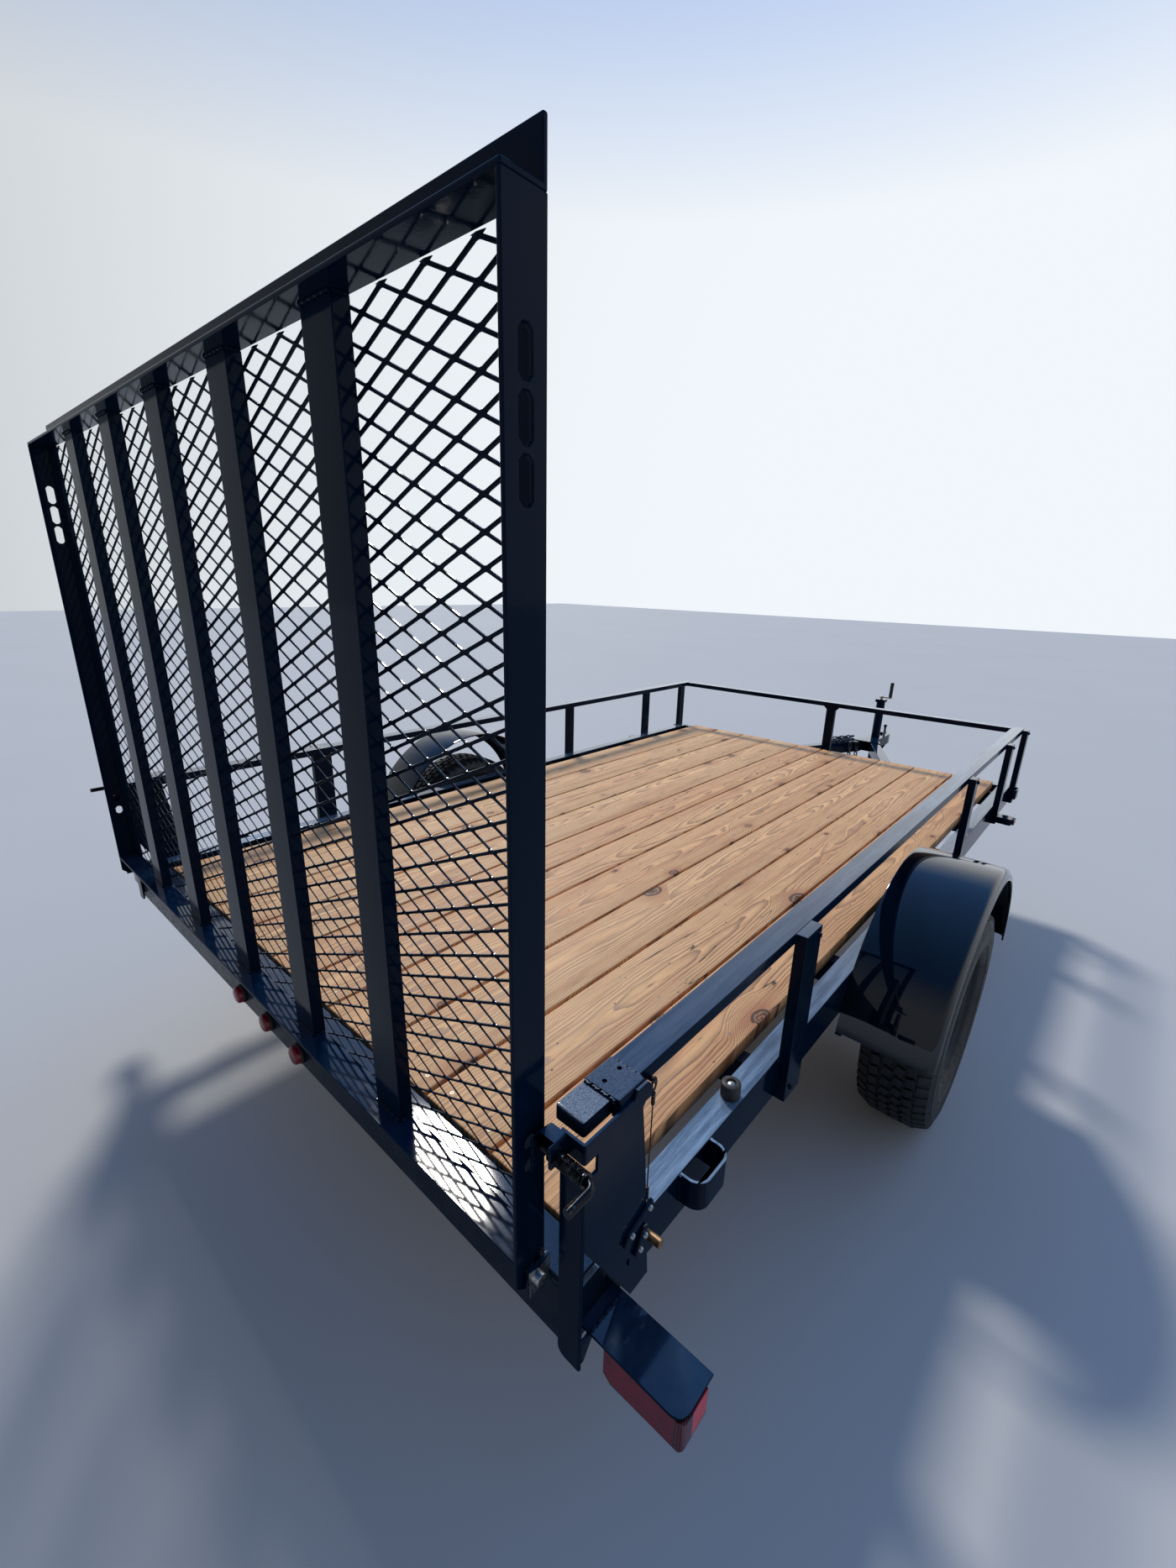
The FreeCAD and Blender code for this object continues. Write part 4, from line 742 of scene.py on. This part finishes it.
# Gate latches: a blackened steel pin with a bent handle. It slides through a bracket and a bush,
# and a coil spring between them pushes it home into the gate.
LATCH_Y = -2.328
LATCH_Z = 0.880
COIL_RADIUS = 0.0092
COIL_STEPS = 260
dark_steel = Finish("dark_steel", (0.05, 0.052, 0.056), 0.28, 0.9)
rubbed = dark_steel.noise(55.0, 5.0, 0.65).ramp(0.54, 0.72)
dark_steel.blend(rubbed, (0.012, 0.013, 0.017), (0.085, 0.086, 0.088))
dark_steel.set("Roughness", rubbed.ramp(0.0, 1.0, 0.24, 0.4))
pin_parts = [rod("latch_pin_right", [(0.9725, LATCH_Y, LATCH_Z), (1.0745, LATCH_Y, LATCH_Z),
                                     (1.0745, LATCH_Y - 0.0475, LATCH_Z)], 0.0064, 0.011, 5)]
end(pin_parts[0], 0.0016, 3, 50)
coil = []
for step in range(COIL_STEPS):
    coil.append((1.0025 + 0.00022 * step, LATCH_Y + COIL_RADIUS * math.cos(step * 0.42),
                 LATCH_Z + COIL_RADIUS * math.sin(step * 0.42)))
pin_parts.append(rod("latch_coil", coil, 0.0013, 0, 1))
pin_parts.append(turned("latch_collar", [(1.0605, 0.0), (1.0605, 0.0105), (1.0635, 0.0105), (1.0635, 0.0)],
                        (0, LATCH_Y, LATCH_Z), "X", 20))
both_sides(joined("latch_pin_right", pin_parts), "frame", dark_steel, "zinc_plate", "latch_pins")

# Lift assist: a wire rope with a crimped thimble at each end, two painted links pinned to the
# corner plate, and a brass-plated pin.
wire_rope = Finish("wire_rope", (0.16, 0.15, 0.13), 0.4, 0.8)
lay = (wire_rope.part("Z") * 900.0 + wire_rope.noise(200.0) * 2.0).maths("SINE").ramp(-0.2, 0.8)
wire_rope.blend(lay, (0.022, 0.021, 0.020), (0.085, 0.082, 0.076))
brass = Finish("brass", (0.45, 0.28, 0.14), 0.35, 0.9)
brass_cloud = brass.noise(120.0, 4.0)
brass.blend(brass_cloud.ramp(0.4, 0.65), (0.44, 0.27, 0.14), (0.23, 0.13, 0.07))
WIRE_X = 1.035
WIRE_Y = -2.150
wire_parts = [rod("wire", [(WIRE_X, WIRE_Y, 0.878), (WIRE_X, WIRE_Y, 0.668)], 0.0011, 0, 2),
              rod("upper_crimp", [(WIRE_X, WIRE_Y, 0.872), (WIRE_X, WIRE_Y, 0.850)], 0.0031)]
for middle_z, tall in ((0.887, 0.011), (0.655, 0.013)):
    loop = []
    for step in range(16):
        turn = step * math.pi / 8
        loop.append((WIRE_X, WIRE_Y + 0.0055 * math.cos(turn), middle_z + tall * math.sin(turn)))
    wire_parts.append(rod("thimble", loop, 0.0016, 0, 2, closed=True))
wire_parts.append(rod("upper_eye", [(1.0225, WIRE_Y, 0.893), (1.0375, WIRE_Y, 0.893)], 0.0042))
wire_parts.append(rod("lower_crimp", [(WIRE_X, WIRE_Y, 0.692), (WIRE_X, WIRE_Y, 0.668)], 0.0034))
wire_parts.append(rod("lower_shackle", [(1.041, -2.156, 0.650), (1.031, -2.156, 0.650),
                                        (1.031, -2.144, 0.650), (1.041, -2.144, 0.650)], 0.0028, 0.003))
both_sides(joined("lift_rope_right", wire_parts), "frame", wire_rope, "zinc_plate", "lift_wires")
painted("lift_links", 0.0022, 3)
rivet_rows = [(1.0485, 0.0), (1.0485, 0.0048), (1.0515, 0.0048), (1.053, 0.0038), (1.0535, 0.0)]
rivet = turned("link_rivet", rivet_rows, (0, 0, 0), "X", 16)
rivets = [copy_of(rivet, "link_rivet", (0, place_y, place_z)) for place_y, place_z in
          ((-2.203, 0.653), (-2.160, 0.669), (-2.179, 0.601), (-2.168, 0.620))]
rivets += [copy_of(piece, "link_rivet_left", flip=True) for piece in rivets]
bpy.data.objects.remove(rivet)
own(joined("link_rivets", rivets), "frame", zinc, "zinc_plate")
shaped_copy("lift_pins", "frame", brass, "zinc_plate", 0.0016, 3)

# Fenders: rolled steel skins, painted. The skin bends down at its outer edge into a lip that ends
# in a rolled bead, and its inner edge is flanged to the frame.
# The fender paint's navy base colour is a painted sky reflection.
fender_paint = Finish("fender_paint", (0.001, 0.0045, 0.013), 0.08)
fender_paint.set("Specular IOR Level", 0.05)
fender_paint.set("Coat Weight", fender_paint.facing().ramp(-0.05, 0.40, 0.16, 1.0))
fender_paint.set("Coat IOR", 1.6)
fender_paint.set("Coat Roughness", 0.025)
fender_paint.bump(fender_paint.noise(22.0, 2.0) * 0.3, 0.0002)
FENDER_AXIS = (0, -0.826, 0.370)
fender_rows = [(1.0235, 0.4475), (1.0235, 0.4535), (1.030, 0.4550), (1.243, 0.4550), (1.2505, 0.4535),
               (1.2570, 0.4497), (1.2615, 0.4435), (1.2635, 0.4360), (1.2637, 0.4260), (1.2650, 0.4245),
               (1.2660, 0.4225), (1.2650, 0.4205), (1.2625, 0.4200), (1.2607, 0.4215), (1.2610, 0.4360),
               (1.2590, 0.4422), (1.2550, 0.4475), (1.2495, 0.4510), (1.243, 0.4524), (1.032, 0.4524),
               (1.0262, 0.4510), (1.0262, 0.4475)]
fender = turned("fender_right", fender_rows, FENDER_AXIS, "X", 72, 160, 10)
both_sides(fender, "frame", fender_paint, "black_paint", "fenders")

# Tyres: a moulded carcass with ridges on its side walls, and a tread of small blocks in six rows,
# the outer two wrapped over the shoulders.
WHEEL = (1.155, -0.826, 0.3445)
rubber = Finish("rubber", (0.02, 0.02, 0.021), 0.72)
rubber_dust = rubber.noise(26.0, 6.0, 0.7).ramp(0.42, 0.75)
rubber.blend(rubber_dust * 0.5, (0.0045, 0.0055, 0.0075), (0.026, 0.026, 0.026))
rubber.set("Roughness", rubber_dust.ramp(0.0, 1.0, 0.55, 0.85))
rubber.bump(rubber.noise(380.0, 3.0), 0.0003)
wall_rows = [(0.0, 0.3365), (0.042, 0.3360), (0.066, 0.3340), (0.080, 0.3290), (0.0895, 0.3200),
             (0.0960, 0.3080), (0.0990, 0.2990), (0.1003, 0.2975), (0.1003, 0.2950), (0.0995, 0.2935),
             (0.1013, 0.2800), (0.1020, 0.2700), (0.1010, 0.2570), (0.0990, 0.2460), (0.1000, 0.2445),
             (0.0998, 0.2420), (0.0972, 0.2400), (0.0930, 0.2290), (0.0860, 0.2180), (0.0800, 0.2120),
             (0.0760, 0.2105), (0.0720, 0.2060), (0.0690, 0.2040), (0.0662, 0.2020), (0.0658, 0.1912)]
tyre_rows = wall_rows + [(-place, radius) for place, radius in wall_rows[:0:-1]]
carcass = turned("tyre_right", tyre_rows, WHEEL, "X", 96)
PITCHES = 56
# Each row of blocks has its place across the tyre, width, length round it, the top's radius, its
# share of a pitch and its turn in degrees.
tread_rows = [
    (-0.0735, 0.021, 0.0255, 0.3395, 0.10, 0),
    (-0.0460, 0.022, 0.0290, 0.3432, 0.55, 14),
    (-0.0155, 0.023, 0.0265, 0.3442, 0.15, -18),
    (0.0155, 0.023, 0.0265, 0.3442, 0.65, -18),
    (0.0460, 0.022, 0.0290, 0.3432, 0.25, 14),
    (0.0735, 0.021, 0.0255, 0.3395, 0.70, 0),
]
blocks = []
for place, wide, long, top, phase, lean in tread_rows:
    swing = (phase - 0.5) * 2 * math.pi / PITCHES
    bpy.ops.mesh.primitive_cube_add(size=1, location=(WHEEL[0] + place, WHEEL[1], WHEEL[2] + top - 0.006),
                                    rotation=(0, 0, math.radians(lean)), scale=(wide, long, 0.012))
    block = begin("tread_block")
    if abs(place) > 0.06:
        side = math.copysign(1, place)
        pick("VERT", lambda spot: (spot.x - WHEEL[0] - place) * side > 0)
        bpy.ops.transform.translate(value=(side * 0.009, 0, -0.013))
        bpy.ops.transform.resize(value=(1, 0.82, 1))
    pick_all()
    bpy.ops.transform.rotate(value=-swing, orient_axis="X", center_override=WHEEL)
    end(block, 0.0013, 1)
    blocks.append(block)
tread = joined("tread", blocks)
bpy.ops.object.mode_set(mode="EDIT")
pick_all()
bpy.ops.mesh.spin(steps=PITCHES, angle=2 * math.pi, dupli=True, center=WHEEL, axis=(1, 0, 0))
pick_all()
bpy.ops.mesh.remove_doubles(threshold=0.00001)
end(tread)
tyre_right = joined("tyre_dressed_right", [carcass, tread])
tyre_left = copy_of(tyre_right, "tyre_dressed_left", flip=True)
own(tyre_right, "wheel_right", rubber, "tyre_rubber", "tyre_right")
own(tyre_left, "wheel_left", rubber, "tyre_rubber", "tyre_left")

# Wheels: a pressed steel disc painted a dark silver grey, with eight hand holes, welded into a
# rolled rim and held to the hub by five nuts. A greased hub with a pressed cap stands through it.
HAND_HOLES = 8
HAND_HOLE_RING = 0.1555
NUTS = 5
NUT_RING = 0.0572
wheel_paint = Finish("wheel_paint", (0.05, 0.052, 0.056), 0.3)
wheel_dust = wheel_paint.noise(18.0, 6.0, 0.7).ramp(0.45, 0.75)
wheel_paint.blend(wheel_dust * 0.5, (0.050, 0.053, 0.058), (0.10, 0.10, 0.098))
wheel_paint.set("Roughness", wheel_dust.ramp(0.0, 1.0, 0.22, 0.5))
wheel_paint.bump(wheel_paint.noise(240.0, 2.0), 0.0002)
rim_rows = [(-0.0700, 0.2020), (-0.0672, 0.2028), (-0.0660, 0.2010), (-0.0655, 0.1912), (-0.0600, 0.1895),
            (-0.0300, 0.1885), (0.0300, 0.1885), (0.0600, 0.1895), (0.0655, 0.1912), (0.0660, 0.2010),
            (0.0672, 0.2028), (0.0700, 0.2020), (0.0698, 0.1880), (0.0620, 0.1860), (0.0300, 0.1850),
            (0.0205, 0.1845), (0.0330, 0.1580), (0.0385, 0.1440), (0.0390, 0.1330), (0.0360, 0.1210),
            (0.0230, 0.1020), (0.0120, 0.0900), (0.0080, 0.0820), (0.0075, 0.0430), (0.0010, 0.0425),
            (0.0015, 0.0850), (0.0060, 0.0930), (0.0170, 0.1050), (0.0300, 0.1240), (0.0330, 0.1340),
            (0.0320, 0.1430), (0.0270, 0.1560), (0.0130, 0.1810), (0.0100, 0.1850), (-0.0600, 0.1850),
            (-0.0695, 0.1875)]
rim = turned("rim_right", rim_rows, WHEEL, "X", 96)
holes = []
for number in range(HAND_HOLES):
    swing = 2 * math.pi * (number + 0.5) / HAND_HOLES
    spot = (WHEEL[0] + 0.02, WHEEL[1] - HAND_HOLE_RING * math.sin(swing),
            WHEEL[2] + HAND_HOLE_RING * math.cos(swing))
    bpy.ops.mesh.primitive_cylinder_add(vertices=24, radius=0.0155, depth=0.08,
                                        rotation=(0, math.pi / 2, 0), location=spot)
    holes.append(end(begin("hand_hole")))
holes = joined("hand_holes", holes)
modify(rim, "BOOLEAN", operation="DIFFERENCE", object=holes)
bpy.data.objects.remove(holes)
end(rim)
own(rim, "wheel_right", wheel_paint, "wheel_paint", "rim_right")
rim_left = copy_of(rim, "rim_dressed_left", flip=True)
own(rim_left, "wheel_left", wheel_paint, "wheel_paint", "rim_left")
hub_rows = [(-0.1085, 0.0180), (-0.1085, 0.0400), (-0.1060, 0.0416), (-0.020, 0.0416), (0.0100, 0.0416),
            (0.0125, 0.0400), (0.0125, 0.0318), (0.0150, 0.0310), (0.0170, 0.0325), (0.0190, 0.0310),
            (0.0360, 0.0300), (0.0400, 0.0280), (0.0418, 0.0235), (0.0420, 0.0), (0.0290, 0.0),
            (0.0290, 0.0180)]
hub_parts = [turned("hub_dressed_right", hub_rows, WHEEL, "X", 40)]
for number in range(NUTS):
    swing = 2 * math.pi * number / NUTS
    spot = (WHEEL[0] + 0.0165, WHEEL[1] + NUT_RING * math.sin(swing),
            WHEEL[2] + NUT_RING * math.cos(swing))
    bpy.ops.mesh.primitive_cylinder_add(vertices=6, radius=0.0108, depth=0.018,
                                        rotation=(0, math.pi / 2, 0), location=spot)
    nut = begin("wheel_nut")
    pick("FACE", lambda place: place.x > spot[0] + 0.008)
    bpy.ops.mesh.inset(thickness=0.0045)
    bpy.ops.mesh.extrude_region_move(TRANSFORM_OT_translate={"value": (0.007, 0, 0)})
    hub_parts.append(end(nut, 0.0008))
hub_parts.append(rod("valve", [(WHEEL[0] + 0.034, WHEEL[1], WHEEL[2] - 0.166),
                               (WHEEL[0] + 0.062, WHEEL[1], WHEEL[2] - 0.160)], 0.0055))
hub = joined("hub_dressed_right", hub_parts)
own(hub, "wheel_right", zinc, "zinc_plate", "hub_right")
hub_left = copy_of(hub, "hub_dressed_left", flip=True)
own(hub_left, "wheel_left", zinc, "zinc_plate", "hub_left")

# Axle: a black tube on two leaf springs under the side members, clamped by U-bolts with nuts
# below their seats.
U_BOLT_HALF = 0.036
U_BOLT_LOW = 0.298
U_BOLT_HIGH = 0.4225
for node in ("axle_beam", "spring_seats", "spring_hangers"):
    painted(node, 0.002)
painted("leaf_springs", 0.0008)
u_bolts = []
for place_x in (0.9605, 1.0195, -0.9605, -1.0195):
    rear = WHEEL[1] - U_BOLT_HALF
    front = WHEEL[1] + U_BOLT_HALF
    u_bolts.append(rod("u_bolt", [(place_x, rear, U_BOLT_LOW), (place_x, rear, U_BOLT_HIGH),
                                  (place_x, front, U_BOLT_HIGH), (place_x, front, U_BOLT_LOW)],
                       0.0055, 0.012))
    for place_y in (rear, front):
        bpy.ops.mesh.primitive_cylinder_add(vertices=6, radius=0.0105, depth=0.010,
                                            location=(place_x, place_y, U_BOLT_LOW + 0.016))
        u_bolts.append(end(begin("u_bolt_nut"), 0.001))
own(joined("u_bolts", u_bolts), "frame", zinc, "zinc_plate")

# Coupler: a pressed steel head welded over the tongue, with an upright latch lever, and safety
# chains of welded wire links laid over the left member.
painted("coupler", 0.003, 3)
painted("coupler_lever", 0.0025, 3)
chain_steel = Finish("chain_steel", (0.10, 0.10, 0.105), 0.3, 0.9)
chain_steel.bump(chain_steel.noise(160.0, 2.0), 0.0003)
shaped_copy("safety_chains", "frame", chain_steel, "zinc_plate", 0.0026, 2, 20)

# Jack: a painted tube through the coupler, with a plated screw leg and foot, a crank on its head
# and a rubber grip.
JACK_Y = 2.141
jack_rows = [(0.330, 0.0246), (0.3302, 0.0278), (0.3320, 0.0289), (0.7700, 0.0289), (0.7700, 0.0246)]
jack = turned("jack_body", jack_rows, (0, JACK_Y, 0), "Z", 40)
own(jack, "frame", black_paint, "black_paint", "jack_tube")
painted("jack_head", 0.005, 3)
leg_rows = [(0.0, 0.0), (0.0, 0.0735), (0.0015, 0.0750), (0.0060, 0.0750), (0.0080, 0.0730),
            (0.0080, 0.0330), (0.0140, 0.0245), (0.5200, 0.0239), (0.5280, 0.0220), (0.5280, 0.0)]
leg = turned("jack_leg_turned", leg_rows, (0, JACK_Y, 0), "Z", 40)
own(leg, "jack_foot", zinc, "zinc_plate", "jack_leg")
shaped_copy("jack_crank", "frame", zinc, "zinc_plate", 0.002, 3)
grip_rubber = Finish("grip_rubber", (0.015, 0.015, 0.016), 0.6)
grip_rubber.set("Roughness", grip_rubber.noise(90.0, 3.0).ramp(0.3, 0.7, 0.5, 0.72))
grip_rubber.bump(grip_rubber.noise(500.0, 2.0), 0.0002)
grip_rows = [(0.8120, 0.0), (0.8120, 0.0095), (0.8140, 0.0108)]
for number in range(9):
    groove = 0.011 * number
    grip_rows += [(0.8180 + groove, 0.0119), (0.8255 + groove, 0.0119), (0.8268 + groove, 0.0108)]
grip_rows += [(0.9170, 0.0112), (0.9178, 0.0085), (0.9179, 0.0)]
grip = turned("crank_grip_turned", grip_rows, (0.058, JACK_Y, 0), "Z", 28)
own(grip, "frame", grip_rubber, "soft_rubber", "crank_grip")

# Tail lamps: a wrap-round lens, deep red with prisms behind its face and a side reflector, in a
# black moulded back under the shelf.
red_lens = Finish("red_lens", (0.35, 0.006, 0.008), 0.12)
lens_across = red_lens.part("X").maths("ABSOLUTE")
lens_high = red_lens.part("Z")
lens_run = lens_across + red_lens.part("Y")
corner_band = lens_run.ramp(-1.096, -1.095) * lens_run.ramp(-1.063, -1.064)
corner_band = corner_band * lens_across.ramp(1.180, 1.181)
grooves = (lens_run * 1250.0).maths("SINE").ramp(-0.2, 0.3)
reflector = lens_across.ramp(1.2040, 1.2042) * lens_run.ramp(-1.058, -1.057)
reflector = reflector * lens_high.ramp(0.488, 0.489)
lens_cloud = red_lens.noise(14.0, 3.0).ramp(0.35, 0.7)
lens_colour = red_lens.mix(lens_cloud, (0.21, 0.004, 0.009), (0.11, 0.002, 0.006))
lens_colour = red_lens.mix(reflector, lens_colour, (0.66, 0.022, 0.045))
# Painted shade: the grooves at the lens's corner are drawn dark.
lens_colour = red_lens.mix(corner_band * grooves * 0.85, lens_colour, (0.012, 0.003, 0.004))
lens_rim = lens_high.ramp(0.4775, 0.4765) * lens_across.ramp(1.060, 1.061)
red_lens.blend(lens_rim * 0.8, lens_colour, (0.012, 0.004, 0.005))
prisms = (lens_high * 2400.0).maths("SINE")
red_lens.bump(corner_band * grooves * -2.0 + reflector * prisms * 0.2, 0.0004)
shaped_copy("tail_lamps", "frame", red_lens, "red_lens", 0.002, 3,
            bends=[(lambda spot: abs(spot.x) > 1.2045 and spot.y < -2.2855, 0.009),
                   (lambda spot: spot.y < -2.2855 and spot.z < 0.5345, 0.004)])
black_plastic = Finish("black_plastic", (0.014, 0.014, 0.015), 0.42)
black_plastic.set("Roughness", black_plastic.noise(60.0, 3.0).ramp(0.3, 0.7, 0.34, 0.52))
black_plastic.bump(black_plastic.noise(600.0, 2.0), 0.0002)
shaped_copy("lamp_housings", "frame", black_plastic, "black_plastic", 0.003, 3)

# Marker lamps: three round red ones in rubber rings on the rear member, and an amber one on each
# front arm.
MARKERS_X = (-0.162, 0.0, 0.162)
MARKERS_Z = 0.520
marker_rows = [(-2.3050, 0.0), (-2.3050, 0.0228), (-2.3150, 0.0222), (-2.3185, 0.0205),
               (-2.3208, 0.0160), (-2.3218, 0.0080), (-2.3220, 0.0)]
ring_rows = [(-2.3020, 0.0), (-2.3020, 0.0240), (-2.3028, 0.0249), (-2.3050, 0.0250),
             (-2.3070, 0.0244), (-2.3074, 0.0226), (-2.3060, 0.0222), (-2.3050, 0.0)]
for name, rows, finish, slot in (("marker_lenses", marker_rows, red_lens, "red_lens"),
                                 ("marker_rings", ring_rows, grip_rubber, "soft_rubber")):
    lamps = [turned(name, rows, (place_x, 0, MARKERS_Z), "Y", 36) for place_x in MARKERS_X]
    own(joined(name, lamps), "frame", finish, slot, "rear_marker_lamps")
amber_lens = Finish("amber_lens", (0.65, 0.20, 0.012), 0.14)
amber_cloud = amber_lens.noise(40.0, 2.0)
amber_lens.blend(amber_cloud, (0.66, 0.21, 0.014), (0.50, 0.13, 0.008))
amber_lens.bump((amber_lens.part("Y") * 1500.0).maths("SINE"), 0.0003)
side_lamps = shaped_copy("side_marker_lamps", "frame", amber_lens, "amber_lens", 0.002, 3)
repaint(side_lamps, black_plastic, lambda spot: abs(spot.x) < 1.1232)

# Rubber bumpers: round blocks on the side members behind the fenders, each held by a
# countersunk screw and washer.
bumper_rows = [(0.6040, 0.0), (0.6040, 0.0192), (0.6060, 0.0199), (0.6310, 0.0199), (0.6345, 0.0188),
               (0.6358, 0.0165), (0.6358, 0.0105), (0.6335, 0.0085), (0.6310, 0.0080), (0.6310, 0.0)]
head_rows = [(0.6312, 0.0), (0.6312, 0.0072), (0.6325, 0.0072), (0.6338, 0.0050), (0.6340, 0.0)]
BUMPER = (0.9975, -1.814, 0)
bumper = turned("bumper_right", bumper_rows, BUMPER, "Z", 36)
both_sides(bumper, "frame", grip_rubber, "soft_rubber", "rubber_bumpers")
both_sides(turned("bumper_screw_right", head_rows, BUMPER, "Z", 24), "frame", zinc, "zinc_plate")
